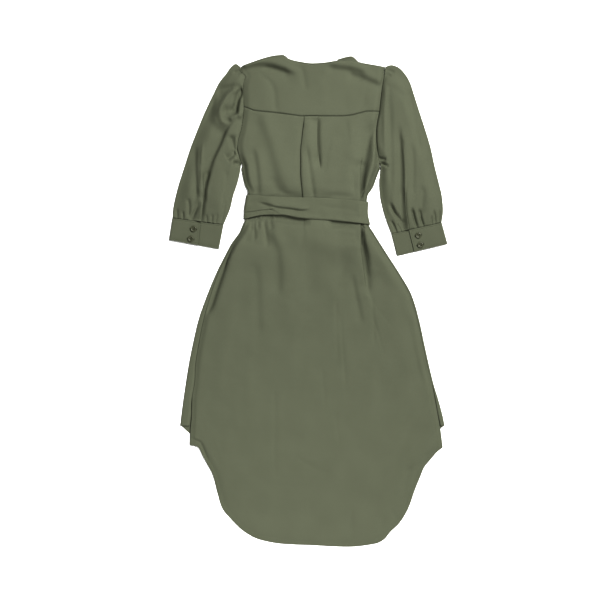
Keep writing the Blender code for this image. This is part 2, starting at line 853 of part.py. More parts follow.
def armhole_line(side):
    """The armhole seam as spots, each stretch halved, so that a sleeve meets the back's own points."""
    spots = armhole_spots(side) - np.array([SEAM if side == "left" else -SEAM, 0])
    spots[-1] = spots[-2] + (spots[-1] - spots[-2]) * UNDERARM_SHARE
    halved = []
    for start, end in zip(spots[:-1], spots[1:]):
        halved += [start, (start + end) / 2]
    return np.array(halved + [spots[-1]])


def make_sleeve(name, side, outer, inner, folds, material):
    """A flattened tube, open at the armhole and at the cuff."""
    seam = armhole_line(side)
    lengths = np.concatenate([[0], np.cumsum(np.linalg.norm(np.diff(seam, axis=0), axis=1))])
    shares = lengths / lengths[-1]
    outer_spots = run(outer, SLEEVE_ROWS)
    inner_spots = run(inner, np.array(SLEEVE_ROWS) ** INNER_EASE)
    bend = None
    grid = []
    for along, start, end in zip(SLEEVE_ROWS, outer_spots, inner_spots):
        direction = unit(end - start)
        high = BACK_LEVEL - SLEEVE_DROP * float(smooth(along / SLEEVE_DROP_REACH))
        outer_roll = roll(start, direction, high, FLOOR_LEVEL)
        inner_roll = roll(end, -direction, high, FLOOR_LEVEL)
        first, last = np.array(outer_roll[0][:2]), np.array(inner_roll[0][:2])
        spots = first + (last - first) * shares[:, None]
        bend = seam - spots if bend is None else bend
        spots[1:-1] += bend[1:-1] * (1 - float(smooth(along / BEND_REACH)))
        soft = smooth(shares / SLEEVE_SIDE_CALM) * smooth((1 - shares) / SLEEVE_SIDE_CALM)
        heights = high + relief(folds, spots) * soft * (CUFF_CALM if along in (0, 1) else 1)
        row = [(across, down, height) for (across, down), height in zip(spots[:-1], heights)]
        row += inner_roll
        under = np.linspace(0, 1, SLEEVE_UNDER_COLUMNS + 2)[1:-1]
        low_start, low_end = np.array(inner_roll[-1][:2]), np.array(outer_roll[-1][:2])
        row += [(*(low_start + (low_end - low_start) * share), FLOOR_LEVEL) for share in under]
        row += outer_roll[:0:-1]
        grid.append(row)
    sheet(name, grid, material, looped=True)


# The cuffs and their buttons

CUFF_LOW = CUFF_CLOTH / 2
CUFF_MIDDLE = CUFF_LOW + CUFF_CLOTH + GAP
CUFF_HIGH = CUFF_MIDDLE + CUFF_CLOTH + GAP
CUFF_ROWS = 4
CUFF_COLUMNS = 5
# Shares of the cuff's width: how far the under end reaches past the lap, and where each layer's flat ends
CUFF_UNDERLAP = 0.16
CUFF_INNER_SHARE = 0.95
CUFF_OUTER_SHARE = 0.1
CUFF_LOW_SHARES = [0.8, 0.6, 0.4, 0.2]


def spot_of(point):
    return np.array([point.across, point.down], float)


def make_cuff(name, cuff, material):
    """A band wrapped round the wrist: its outer end lies on its inner end, and faces up."""
    grid = []
    for share in np.linspace(0, 1, CUFF_ROWS):
        outer = spot_of(cuff.outer_top) + (spot_of(cuff.outer_bottom) - spot_of(cuff.outer_top)) * share
        inner = spot_of(cuff.inner_top) + (spot_of(cuff.inner_bottom) - spot_of(cuff.inner_top)) * share
        lap = cuff.lap_top + (cuff.lap_bottom - cuff.lap_top) * share
        direction = unit(inner - outer)
        middle_shares = np.linspace(lap - CUFF_UNDERLAP, CUFF_INNER_SHARE, CUFF_COLUMNS)
        high_shares = np.linspace(CUFF_OUTER_SHARE, lap, CUFF_COLUMNS)
        under = [(*(outer + (inner - outer) * at), CUFF_MIDDLE) for at in middle_shares]
        inner_roll = roll(inner, -direction, CUFF_MIDDLE, CUFF_LOW)
        below = [(*(outer + (inner - outer) * at), CUFF_LOW) for at in CUFF_LOW_SHARES]
        outer_roll = roll(outer, direction, CUFF_HIGH, CUFF_LOW)[::-1]
        above = [(*(outer + (inner - outer) * at), CUFF_HIGH) for at in high_shares]
        grid.append(under + inner_roll + below + outer_roll + above)
    sheet(name, grid, material, wall=CUFF_CLOTH)


ButtonRing = namedtuple("ButtonRing", "radius height")
BUTTON_PROFILE = [
    ButtonRing(0.0, 0.62),
    ButtonRing(0.56, 0.62),
    ButtonRing(0.68, 0.94),
    ButtonRing(0.80, 1.0),
    ButtonRing(0.94, 0.88),
    ButtonRing(1.0, 0.62),
    ButtonRing(0.88, 0.14),
    ButtonRing(0.62, 0.0),
    ButtonRing(0.0, 0.0),
]
BUTTON_STEPS = 20
HOLE_SPACING = 3.2
HOLE_DIAMETER = 1.8
HOLE_COUNT = 4
HOLE_SIDES = 10
MERGE_DISTANCE = 0.00001


def make_button(name, point, material):
    """A turned, rimmed button with four thread holes."""
    radius = BUTTON_DIAMETER / 2 * MM
    profile = bpy.data.meshes.new(name)
    vertices = [(ring.radius * radius, 0, ring.height * BUTTON_THICKNESS * MM) for ring in BUTTON_PROFILE]
    profile.from_pydata(vertices, [(at, at + 1) for at in range(len(vertices) - 1)], [])
    profile.materials.append(material)
    made = bpy.data.objects.new(name, profile)
    PIECES.objects.link(made)
    made.location = place((point.across, point.down, CUFF_HIGH + CUFF_CLOTH / 2 + GAP))
    turn = made.modifiers.new("turned", "SCREW")
    turn.steps = BUTTON_STEPS
    turn.render_steps = BUTTON_STEPS
    turn.use_merge_vertices = True
    turn.merge_threshold = MERGE_DISTANCE
    turn.use_smooth_shade = True
    for number in range(HOLE_COUNT):
        angle = math.radians(360 * (number + 0.5) / HOLE_COUNT)
        bpy.ops.mesh.primitive_cylinder_add(
            vertices=HOLE_SIDES,
            radius=HOLE_DIAMETER / 2 * MM,
            depth=4 * BUTTON_THICKNESS * MM,
            location=(
                made.location.x + HOLE_SPACING / 2 * MM * math.cos(angle) * math.sqrt(2),
                made.location.y + HOLE_SPACING / 2 * MM * math.sin(angle) * math.sqrt(2),
                made.location.z + BUTTON_THICKNESS / 2 * MM,
            ),
        )
        cutter = bpy.context.active_object
        cutter.name = f"{name}_hole_{number + 1}"
        for holder in list(cutter.users_collection):
            holder.objects.unlink(cutter)
        CUTTERS.objects.link(cutter)
        cutter.hide_render = True
        cutter.display_type = "WIRE"
        hole = made.modifiers.new(f"hole {number + 1}", "BOOLEAN")
        hole.operation = "DIFFERENCE"
        hole.object = cutter


# The sash


def sash_heights(back, places):
    """How high the back's waist rows reach near each place, softened, with room for the sash above them."""
    samples = []
    for row in back:
        points = np.array(row)
        if WAIST_ROWS[0] - SASH_REACH <= points[:, 1].mean() <= WAIST_ROWS[-1] + SASH_REACH:
            for start, end in zip(points[:-1], points[1:]):
                samples += [start + (end - start) * share for share in np.linspace(0, 1, ROW_SAMPLES)]
    samples = np.array(samples)
    fine = np.linspace(places[0], places[-1], SASH_SAMPLES)
    highest = np.array([samples[np.abs(samples[:, 0] - at) < SASH_REACH, 2].max() for at in fine])
    softened = np.array([highest[np.abs(fine - at) < SASH_SOFTENING].mean() for at in fine])
    return np.interp(places, fine, softened) + LAYER + SASH_CLEARANCE


def make_sash(back, material):
    """One flattened loop round the waist."""
    share_across = np.linspace(0, 1, SASH_COLUMNS)
    grid = []
    for share in np.linspace(0, 1, SASH_ROWS):
        left, right = run(SASH_LEFT, [share])[0], run(SASH_RIGHT, [share])[0]
        across = left[0] + (right[0] - left[0]) * share_across
        heights = sash_heights(back, across)
        down = down_at(SASH_TOP, across) * (1 - share) + down_at(SASH_BOTTOM, across) * share
        left_roll = roll(np.array([left[0], down[0]]), np.array([1.0, 0.0]), heights[0], FLOOR_LEVEL)
        right_roll = roll(np.array([right[0], down[-1]]), np.array([-1.0, 0.0]), heights[-1], FLOOR_LEVEL)
        row = [(x, y, z) for x, y, z in zip(across[1:-1], down[1:-1], heights[1:-1])]
        row += right_roll
        under = np.linspace(1, 0, SASH_UNDER_COLUMNS + 2)[1:-1]
        below = [(left[0] + (right[0] - left[0]) * at, down[0] + (down[-1] - down[0]) * at) for at in under]
        row += [(x, y, FLOOR_LEVEL) for x, y in below]
        row += left_roll[::-1]
        grid.append(row)
    sheet("sash", grid, material, looped=True)


# The dress

for thing in list(bpy.data.objects):
    bpy.data.objects.remove(thing)
PIECES = collection_named("wrap_dress")
CUTTERS = collection_named("cutters")

CREPE_COLOUR = (0.133, 0.145, 0.093)
CREPE_SHADE = (0.125, 0.137, 0.088)
BUTTON_COLOUR = (0.098, 0.094, 0.056)

crepe = material_named("olive_crepe", CREPE_COLOUR, 0.85)
crepe_bias = material_named("olive_crepe_bias", CREPE_SHADE, 0.85)
resin = material_named("button_resin", BUTTON_COLOUR, 0.45)

back_points = make_back(crepe)
make_yoke(crepe)
make_front("front_over", "left", OVER_EDGE, OVER_HEM, OVER_TOP, over_level, crepe)
make_front("front_under", "right", UNDER_EDGE, UNDER_HEM, UNDER_TOP, under_level, crepe)
make_sleeve("sleeve_left", "left", SLEEVE_LEFT_OUTER, SLEEVE_LEFT_INNER, SLEEVE_LEFT_FOLDS, crepe)
make_sleeve("sleeve_right", "right", SLEEVE_RIGHT_OUTER, SLEEVE_RIGHT_INNER, SLEEVE_RIGHT_FOLDS, crepe)
make_sash(back_points, crepe_bias)
for hand, cuff_sizes in (("left", CUFF_LEFT), ("right", CUFF_RIGHT)):
    make_cuff(f"cuff_{hand}", cuff_sizes, crepe_bias)
    for count, button_point in enumerate(cuff_sizes.buttons):
        make_button(f"button_{hand}_{count + 1}", button_point, resin)
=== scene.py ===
# %% [markdown]
# # A wrap dress, laid flat with its back up
#
# The real dress is cut from olive green polyester crepe and sewn from a yoke, a back, two fronts that wrap,
# two gathered sleeves with buttoned cuffs and a sash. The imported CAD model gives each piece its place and
# its layer. This script lays a thin, finely gridded cloth on each of those pieces, presses the photo's
# creases into it, and adds the stitches, the buttons and the finish of the cloth.
#
# Places are in millimetres: across runs to the right from the middle, down runs from the neck points to the
# hem.

import math
from collections import namedtuple

import bpy
import numpy as np
from mathutils import Matrix, Vector


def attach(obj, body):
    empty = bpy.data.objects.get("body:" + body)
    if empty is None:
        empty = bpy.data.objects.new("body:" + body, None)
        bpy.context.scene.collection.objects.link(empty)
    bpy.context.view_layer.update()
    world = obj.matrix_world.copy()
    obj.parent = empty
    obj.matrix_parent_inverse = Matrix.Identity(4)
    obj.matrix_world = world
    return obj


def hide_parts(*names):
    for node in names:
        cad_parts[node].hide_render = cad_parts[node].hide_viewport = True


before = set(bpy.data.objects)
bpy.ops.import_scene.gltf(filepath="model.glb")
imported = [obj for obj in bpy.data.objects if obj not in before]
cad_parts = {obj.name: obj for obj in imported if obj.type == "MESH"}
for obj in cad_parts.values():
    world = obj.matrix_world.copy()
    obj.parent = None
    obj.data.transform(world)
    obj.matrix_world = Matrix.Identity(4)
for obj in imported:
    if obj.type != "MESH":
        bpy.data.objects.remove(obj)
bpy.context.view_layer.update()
print("CAD nodes:", ", ".join(sorted(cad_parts)))

# %% [markdown]
# ## Sizes
#
# The cloth shows as a shell 0.7 mm thick, so that three layers of it fit where the dress folds over itself.
# The levels are those of the middle of each layer above the table.

# %% Driving sizes
MM = 0.001
LENGTH = 1229.7
SHELL = 0.7
LAYER = 1.5
SEAM = 0.45
FLOOR_LEVEL = 0.4
BACK_LEVEL = 4.0
LAP_PITCH = 2.3

# The cloth between its seams lies this much higher than beside them, so that troughs can be pressed into it
LOFT_REACH = 15.0
SEAM_DIP = 0.8
SEAM_DIP_REACH = 2.4

# The waist rows slope over the body's width, as the sash does, from the underarm to the hips
WAIST_TILT = 19.0
WAIST_WIDTH = 310.0
WAIST_START_FADE = 60.0
WAIST_END, WAIST_END_FADE = 442.0, 100.0

# How far beyond a piece the layers over it stay up, and the length over which they then come down
SASH_MARGIN, SASH_FADE = 10.0, 26.0
OVERLAP_MARGIN, OVERLAP_FADE = 30.0, 45.0
TAIL_MARGIN, TAIL_FADE = 8.0, 120.0
TAIL_START, TAIL_START_FADE = 850.0, 60.0
FRONT_EDGE_FADE = 9.0
CLEARANCE = 0.2

# The hem and the topstitch beside it: the turn is doubled up to the stitches
HEM_DOUBLED = 0.3
HEM_TURN, HEM_TURN_FADE = 7.4, 1.4

# %% [markdown]
# ## Curves through a few points
#
# A pattern maker draws a long edge through a few marks with a flexible curve. The helpers below do the
# same: a monotone cubic never swings past its marks, so an outline stays where it was measured.


# %% Curves and short tables
def table(columns, text):
    """A short table, a row on each line of the text, whose named columns are arrays."""
    rows = [row.split() for row in text.strip().splitlines()]
    return dict(zip(columns.split(), np.array(rows, float).T))


def points(text):
    """A line of points, or a curve of other pairs, from a text such as 1 2, 3 4."""
    return np.array([spot.split() for spot in text.split(",")], float)


def smooth(share):
    """0 below 0 and 1 above 1, with a soft S between."""
    held = np.clip(share, 0, 1)
    return held * held * (3 - 2 * held)


def bell(value):
    """1 at 0, falling smoothly to nothing on both sides."""
    return np.exp(-(value**2))


def unit(vector):
    return vector / np.linalg.norm(vector)


def walked(spots, axis=0):
    """How far each spot lies along its row or its column."""
    steps = np.cumsum(np.linalg.norm(np.diff(spots, axis=axis), axis=-1), axis=axis)
    return np.insert(steps, 0, 0, axis=axis)


def ease(xs, ys, at):
    """A smooth curve through points, which never swings past them."""
    xs, ys, at = np.asarray(xs, float), np.asarray(ys, float), np.asarray(at, float)
    steps = np.diff(xs)
    slopes = np.diff(ys) / steps
    before, after = slopes[:-1], slopes[1:]
    same = before * after > 0
    inner = np.where(same, 2 * before * after / np.where(same, before + after, 1), 0)
    tangents = np.concatenate([slopes[:1], inner, slopes[-1:]])
    place = np.clip(np.searchsorted(xs, at, side="right") - 1, 0, len(steps) - 1)
    t = np.clip((at - xs[place]) / steps[place], 0, 1)
    start = (1 + 2 * t) * (1 - t) ** 2 * ys[place] + t * (1 - t) ** 2 * steps[place] * tangents[place]
    return start + t * t * (3 - 2 * t) * ys[place + 1] + t * t * (t - 1) * steps[place] * tangents[place + 1]


def read(rows, down, name):
    """A named column of a table at a place down the dress."""
    return ease(rows["down"], rows[name], down)


def along(line, shares):
    """The points that lie at these shares of a line's length."""
    lengths = walked(line)
    at = np.asarray(shares, float) * lengths[-1]
    return np.stack([ease(lengths, line[:, 0], at), ease(lengths, line[:, 1], at)], axis=-1)


def read_line(line, at):
    """A line's second number at its first: how far down it lies at a place across, or a height there."""
    return ease(line[:, 0], line[:, 1], at)


def nearest(spots, line):
    """Each spot's distance to a line, the share along it of the nearest point, and its side, 1 or -1.

    Side 1 is the page's right where the line runs down the page, and the neck's side where it runs right."""
    steps = np.diff(line, axis=0)
    lengths = np.linalg.norm(steps, axis=1)
    starts = np.concatenate([[0], np.cumsum(lengths)])
    best = np.full(spots.shape[:-1], 1e9)
    share = np.zeros(spots.shape[:-1])
    side = np.ones(spots.shape[:-1])
    for start, step, length, before in zip(line, steps, lengths, starts):
        offset = spots - start
        part = np.clip((offset @ step) / (length * length), 0, 1)
        distance = np.linalg.norm(offset - part[..., None] * step, axis=-1)
        closer = distance < best
        best = np.where(closer, distance, best)
        share = np.where(closer, (before + part * length) / starts[-1], share)
        side = np.where(closer, np.sign(step[1] * offset[..., 0] - step[0] * offset[..., 1]), side)
    return best, share, side


def outside(spots, ring):
    """Each spot's distance outside a closed outline, 0 within it."""
    closed = np.vstack([ring, ring[:1]])
    distance = nearest(spots, closed)[0]
    x, y = spots[..., 0], spots[..., 1]
    within = np.zeros(spots.shape[:-1], bool)
    for (ax, ay), (bx, by) in zip(closed[:-1], closed[1:]):
        crosses = (ay > y) != (by > y)
        reach = ax + (y - ay) / np.where(by == ay, 1e-9, by - ay) * (bx - ax)
        within ^= crosses & (x < reach)
    return np.where(within, 0, distance)


# %% [markdown]
# ## The pattern
#
# These tables are the edges of the laid-out pieces. They repeat the CAD model's own numbers, so each cloth
# lies on its solid. A line's points are pairs of across and down.

# %% Armholes and body
ARMHOLE = table("left_down left right_down right", """
    30 -169 30 192
    45 -164 45 190
    55 -157 58 188.5
    78 -162 78 185
    104 -161 104 181.5
    130 -160.5 142 177
    168 -164 168 172
    190 -168 190 169.5
    211 -174 211 170
    231 -176 231 171.5
    254 -172 254 175
    278 -163.5 278 178.5
""")
YOKE_END = 5
UNDERARM = 278.0
SLIT_TOP = 822.0
BODY = table("down left right strip_left strip_right", """
    278 -168 182 3 3
    308 -163 170 3 3
    328 -157.5 163 3 3
    338 -152 157 3 3
    352 -150.5 148 3 3
    382 -152.5 145 3 3
    405 -155.5 146 3 3
    424 -163 150 3 3
    442 -171 161 3 3
    472 -192 180 3 3
    502 -208 199 3 3
    542 -228 225 4 3
    602 -253 259 8 3
    662 -274 277 12 4
    722 -288 290 14 4
    772 -298 301 16 4
    822 -306 313 21 3
    860 -311.5 324.5 20 7
    905 -317.5 336.5 24 11
    927 -320 341 23 11
""")

# %% Yoke, back, fronts and sash
YOKE_SEAM = points("""
    -161 130, -146 136, -135 140, -88 145, -40 151, -15 154, 80 154, 106 152, 130 146, 148 142, 178 142
""")
YOKE_TOP = points("""
    -169 30, -160 25, -64 0, -46 11, -21 17, 9 21, 42 19, 67 15, 102 11, 117 14, 127 18, 192 30
""")
BACK_SLIT_LEFT = points("-284.5 822, -290.5 860, -292 905, -295 938, -296 975")
BACK_SLIT_RIGHT = points("309.5 822, 316.5 860, 324.5 905, 329.5 932, 336 981")
BACK_HEM = points("""
    -296 975, -276 980, -264 1002, -253 1022, -238 1052, -228 1092, -216 1132, -192 1162, -160 1192,
    -121 1212, -60 1223, 9 1226, 99 1230, 169 1222, 189 1212, 206 1192, 227 1172, 251 1132, 265 1092,
    281 1052, 289 1032, 305 1012, 322 992, 336 981
""")
OVER_EDGE = points("""
    -59 3, -42 25, -30 60, -12 110, 12 165, 50 230, 92 300, 118 352, 128 415, 134 542, 140 700, 138 822
""")
OVER_HEM = points("113 900, 67 965, 25 1005, -20 1027, -80 1030, -150 1015, -230 985, -296 946, -317 927")
UNDER_EDGE = points("""
    74 10, 64 25, 52 60, 32 110, 10 165, -25 230, -65 300, -95 352, -116 415, -124 542, -130 700, -128 822
""")
UNDER_HEM = points("-105 900, -62 965, -20 1005, 25 1027, 85 1030, 160 1015, 240 988, 312 950, 338 927")
OVER_TOP = points("-59 3, -66 3.5, -160 26.5, -168 33")
UNDER_TOP = points("74 10, 107 2.5, 130 19, 191 33")
SASH_TOP = points("-160 349, -50 356, 47 358, 155 368")
SASH_BOTTOM = points("-160 410, -105 400, -68 400, -22 408, 70 415, 155 424")
SASH_LEFT = points("-154 349, -157.5 367, -160 382, -161 410")
SASH_RIGHT = points("150 368, 149 395, 154.5 424")

# %% Sleeves and cuffs
SLEEVE_LEFT_OUTER = points("""
    -171 29, -181 22, -192 29, -206 48, -222 68, -237 98, -258 142, -277 188, -294 232, -309 278,
    -323 322, -331 352, -338 388, -339.2 407.5
""")
SLEEVE_LEFT_INNER = points("-168.5 272, -171 292, -178 322, -188 352, -195 382, -207 412, -212 423.5")
SLEEVE_RIGHT_OUTER = points("""
    194 29, 207 25, 222 29, 240 45, 254 68, 264 98, 278 142, 293 188, 306 232, 316 278, 327 322, 334 352,
    337 388, 333.3 418.5
""")
SLEEVE_RIGHT_INNER = points("183 274, 180.5 292, 178 322, 180 352, 186 382, 197 418, 208 446.5")
Cuff = namedtuple("Cuff", "outer_top outer_bottom inner_top inner_bottom lap_top lap_bottom buttons")
LEFT_BUTTONS, RIGHT_BUTTONS = points("-287 435, -294 460"), points("275 451, 280 475")
CUFF_LEFT = Cuff(*points("-339.5 408, -348 462, -212 424, -224 485"), 0.55, 0.585, LEFT_BUTTONS)
CUFF_RIGHT = Cuff(*points("333.5 419, 348 472, 208 447, 222 502"), 0.655, 0.66, RIGHT_BUTTONS)

# %% [markdown]
# ## Creases
#
# Laid cloth is never flat: it keeps soft troughs and ridges where it was gathered, tied or turned.
# Sculpting them would tie them to one mesh, and a cloth simulation finds its own folds and not the photo's.
# Here each crease is a line with a height and a width on either side, and a step for a fold whose one side
# stands over the other. They are uneven in length, depth and spacing, as the real ones are.

# %% Crease lines
# height: of a ridge, or of a trough below 0. step: how far the right side of the line stands over the
# middle, and the left side lies under it. soft: the step's half width. left, right: how far the crease
# reaches on each side. Right is the page's right for a line that runs down the page, and the neck's side
# for one that runs right.
Crease = namedtuple("Crease", "height step soft left right line")
CREASE_FADE = 0.2
CREASE_REACH = 2.6


def crease_table(text):
    """Creases, one on each line of the text: five numbers, a colon and the line's points."""
    rows = [row.split(":") for row in text.strip().splitlines()]
    return [Crease(*map(float, numbers.split()), points(line)) for numbers, line in rows]


def creased(creases, spots):
    """The height that creases add at each spot."""
    height = np.zeros(spots.shape[:-1])
    for crease in creases:
        line = along(crease.line, np.linspace(0, 1, 4 * len(crease.line)))
        reach = CREASE_REACH * max(crease.left, crease.right)
        near = np.all((spots > line.min(0) - reach) & (spots < line.max(0) + reach), axis=-1)
        distance, share, side = nearest(spots[near], line)
        fade = smooth(share / CREASE_FADE) * smooth((1 - share) / CREASE_FADE)
        fade = fade * bell(distance / np.where(side > 0, crease.right, crease.left))
        height[near] += fade * (crease.height + crease.step * np.tanh(side * distance / crease.soft))
    return height


def ripple(spots, amount, size, seed):
    """The slight unevenness of a laid cloth, the same on each run."""
    rng = np.random.default_rng(seed)
    total = np.zeros(spots.shape[:-1])
    for _ in range(9):
        angle, phase = rng.uniform(0, 2 * math.pi, 2)
        wave = size * rng.uniform(0.6, 1.7)
        total += np.sin(spots @ np.array([math.cos(angle), math.sin(angle)]) * 2 * math.pi / wave + phase)
    return amount * total / 3


# Soft tunnels that lift the whole stack off the table, so that the hidden fronts are creased as well
BED_CREASES = crease_table("""
    1 0 1 16 22: -118 60, -105 130, -112 210, -92 300
    0.8 0 1 14 14: 96 70, 112 150, 104 230, 118 310
    1.1 0 1 20 16: -170 520, -196 640, -214 760, -226 880
    0.9 0 1 18 24: -40 470, -52 590, -36 720, -48 860
    1 0 1 15 20: 52 520, 70 640, 96 800
    1.1 0 1 22 16: 190 560, 222 680, 246 800, 250 880
    0.8 0 1 14 18: -130 700, -150 800, -140 960
    0.7 0 1 16 16: 150 740, 160 850, 140 950
""")

# %% [markdown]
# ## Layers
#
# The dress lies face down: the sash's front stretch and the two fronts are at the bottom, and the back is
# on top. Each level is a function of the place, so all pieces agree on it without asking each other.


# %% Where each layer lies
def armhole_spots(side):
    return np.stack([ARMHOLE[side], ARMHOLE[side + "_down"]], axis=-1)


def front_ring(edge, hem, side):
    """A front's outline, closed round its armhole and side."""
    body = np.stack([BODY[side], BODY["down"]], axis=-1)[::-1]
    return np.vstack([edge, hem, body, armhole_spots(side)[:1]])


def side_line(side):
    """The back's side from the shoulder to the hem corner."""
    sign = 1 if side == "left" else -1
    seam = np.stack([BODY[side] + sign * BODY["strip_" + side], BODY["down"]], axis=-1)[1:17]
    slit = BACK_SLIT_LEFT if side == "left" else BACK_SLIT_RIGHT
    return np.vstack([armhole_spots(side), seam, slit[1:]])


OVER_RING = front_ring(OVER_EDGE, OVER_HEM, "left")
UNDER_RING = front_ring(UNDER_EDGE, UNDER_HEM, "right")
SIDE_LINES = [side_line("left"), side_line("right")]


def near_waist(down):
    """1 at the waist, 0 above the underarm and below the hips."""
    return smooth((down - UNDERARM) / WAIST_START_FADE) * (1 - smooth((down - WAIST_END) / WAIST_END_FADE))


def over_sash(spots):
    """1 over the sash's front stretch and just beside it, 0 away from it."""
    above = read_line(SASH_TOP, spots[..., 0]) - spots[..., 1]
    below = spots[..., 1] - read_line(SASH_BOTTOM, spots[..., 0])
    return 1 - smooth((np.maximum(above, below) - SASH_MARGIN) / SASH_FADE)


def over_level(spots):
    return FLOOR_LEVEL + LAYER * over_sash(spots) + creased(BED_CREASES, spots)


def under_level(spots):
    apart = outside(spots, OVER_RING) - OVERLAP_MARGIN
    return over_level(spots) + LAYER * (1 - smooth(apart / OVERLAP_FADE))


def tail(spots):
    """1 where the back lies on the table below the fronts' hems, 0 over the fronts."""
    apart = np.minimum(outside(spots, OVER_RING), outside(spots, UNDER_RING)) - TAIL_MARGIN
    return smooth(apart / TAIL_FADE) * smooth((spots[..., 1] - TAIL_START) / TAIL_START_FADE)


def from_sides(spots):
    """Each spot's distance from the nearer side of the back."""
    return np.minimum(*(nearest(spots, line)[0] for line in SIDE_LINES))


def from_hem(spots):
    return nearest(spots, BACK_HEM)[0]


# How high the back stands over its lowest level at each place down, between its sides
LOFT_DOWN = points("""
    0 5, 60 7, 130 8.6, 200 9.6, 300 9.6, 328 8, 342 4.6, 352 2, 365 1.2, 392 1.6, 412 4.2, 430 7.4,
    450 9.6, 470 10.4, 498 9.8, 545 6, 600 4.8, 680 4.2, 800 3.4, 1000 2.4, 1100 1.4, 1230 1
""")

# Beside the armholes it keeps this share of its height, as it is sewn to the sleeves there
ARMHOLE_LOFT = 0.55
ARMHOLE_START, ARMHOLE_START_FADE, ARMHOLE_END_FADE = 30.0, 34.0, 40.0
SASH_TOP_MIDDLE, SASH_BOTTOM_MIDDLE = 354.0, 411.0
HEM_LOFT_REACH = 22.0
SEAM_DIP_END = 9.0
ARMHOLE_DIP_FADE = 60.0

# How deep and how wide the left and the right armhole seams are pressed in
ARMHOLE_DIPS = [(0.9, 2.4), (3.4, 4.6)]


def loft(spots, inside):
    """How high the cloth stands over its lowest level; inside is the distance to the nearest side."""
    across, down = spots[..., 0], spots[..., 1]
    middle = read_line(SASH_TOP, across) - SASH_TOP_MIDDLE
    sash_tilt = (middle + read_line(SASH_BOTTOM, across) - SASH_BOTTOM_MIDDLE) / 2
    height = read_line(LOFT_DOWN, down - sash_tilt * near_waist(down))
    sewn_on = ARMHOLE_LOFT * smooth((down - ARMHOLE_START) / ARMHOLE_START_FADE)
    sewn_on = sewn_on * smooth((UNDERARM - down) / ARMHOLE_END_FADE)
    return height * (sewn_on + (1 - sewn_on) * smooth(inside / LOFT_REACH))


def back_level(spots, lofted=True):
    """The back's level with its loft, never down on what lies under it."""
    level = BACK_LEVEL + LAYER * over_sash(spots) + creased(BED_CREASES, spots)
    level -= (BACK_LEVEL - FLOOR_LEVEL) * tail(spots)
    if lofted:
        inside = from_sides(spots)
        level += loft(spots, inside) * smooth(from_hem(spots) / HEM_LOFT_REACH)
        seam = np.abs(spots[..., 1] - read_line(YOKE_SEAM, spots[..., 0]))
        level -= SEAM_DIP * bell(seam / SEAM_DIP_REACH) * smooth(inside / SEAM_DIP_END)
        for line, (dip, reach) in zip(SIDE_LINES, ARMHOLE_DIPS):
            above = smooth((UNDERARM - spots[..., 1]) / ARMHOLE_DIP_FADE)
            level -= dip * bell(nearest(spots, line)[0] / reach) * above
    return level


def lowest_back(spots):
    """The lowest that the back's middle may lie: clear of the fronts, or on the table."""
    lowest = FLOOR_LEVEL
    for level, ring in ((over_level, OVER_RING), (under_level, UNDER_RING)):
        clear = level(spots) + SHELL + CLEARANCE - FLOOR_LEVEL
        clear = clear * (1 - smooth(outside(spots, ring) / FRONT_EDGE_FADE))
        lowest = np.maximum(lowest, FLOOR_LEVEL + clear)
    return lowest


# %% [markdown]
# ## A cloth from a grid
#
# Every piece is a grid of points, row by row, like the warp and weft of the cloth. Solidify gives it a
# thickness, and the arc lengths along the grid give it a UV map in metres, so that the grain of the crepe
# keeps its size and follows the piece round its folds.


# %% Grid to mesh
def place(spots):
    """Laid-out (across, down, height) in mm as metres in the model."""
    spots = np.asarray(spots, float)
    return np.stack([spots[..., 0], LENGTH / 2 - spots[..., 1], spots[..., 2]], axis=-1) * MM


def added(name, data):
    """A new object in the scene."""
    made = bpy.data.objects.new(name, data)
    bpy.context.collection.objects.link(made)
    return made


def cloth(name, grid, thickness=SHELL, looped=False):
    """A thin wall of cloth through a grid; looped joins each row's last point to its first."""
    vertices = place(grid)
    rows, columns = vertices.shape[:2]
    at = np.arange(rows * columns).reshape(rows, columns)
    here = at if looped else at[:, :-1]
    beside = np.roll(at, -1, axis=1) if looped else at[:, 1:]
    faces = np.stack([here[1:], beside[1:], beside[:-1], here[:-1]], axis=-1).reshape(-1, 4)
    mesh = bpy.data.meshes.new(name)
    mesh.from_pydata(vertices.reshape(-1, 3).tolist(), [], faces.tolist())
    mesh.shade_smooth()
    ring = np.concatenate([vertices, vertices[:, :1]], axis=1) if looped else vertices
    across = walked(ring, 1)
    across -= across[:, across.shape[1] // 2, None]
    uv = np.stack([across, -walked(ring)], axis=-1)
    corners = np.stack([uv[1:, :-1], uv[1:, 1:], uv[:-1, 1:], uv[:-1, :-1]], axis=2)
    mesh.uv_layers.new(name="cloth").data.foreach_set("uv", corners.reshape(-1))
    made = added(name, mesh)
    wall = made.modifiers.new("thickness", "SOLIDIFY")
    wall.thickness = thickness * MM
    wall.offset = 0
    wall.use_rim = True
    area = sum(face.area for face in mesh.polygons)
    print(f"{name}: {4 * len(faces)} triangles, {area:.4f} m2, up to {grid[..., 2].max():.1f} mm high")
    return made


def roll(edge, inward, high, low, steps=8, wall=SHELL):
    """A rounded fold from its top tangent to its bottom one, which reaches just to the edge."""
    radius = (high - low) / 2
    angles = np.linspace(0, math.pi, steps + 1)
    spots = edge + np.outer(radius + wall / 2 - radius * np.sin(angles), inward)
    return np.column_stack([spots, high - radius * (1 - np.cos(angles))])


# %% [markdown]
# ## Laps
#
# A pleat is a lap: the cloth turns under itself and back, three layers at one place. A bump map can't cast
# the thin black line under such an edge, so the grid really folds. The section below runs across the
# lap, from its low side to its high side. Where a lap opens, its columns spread out again.

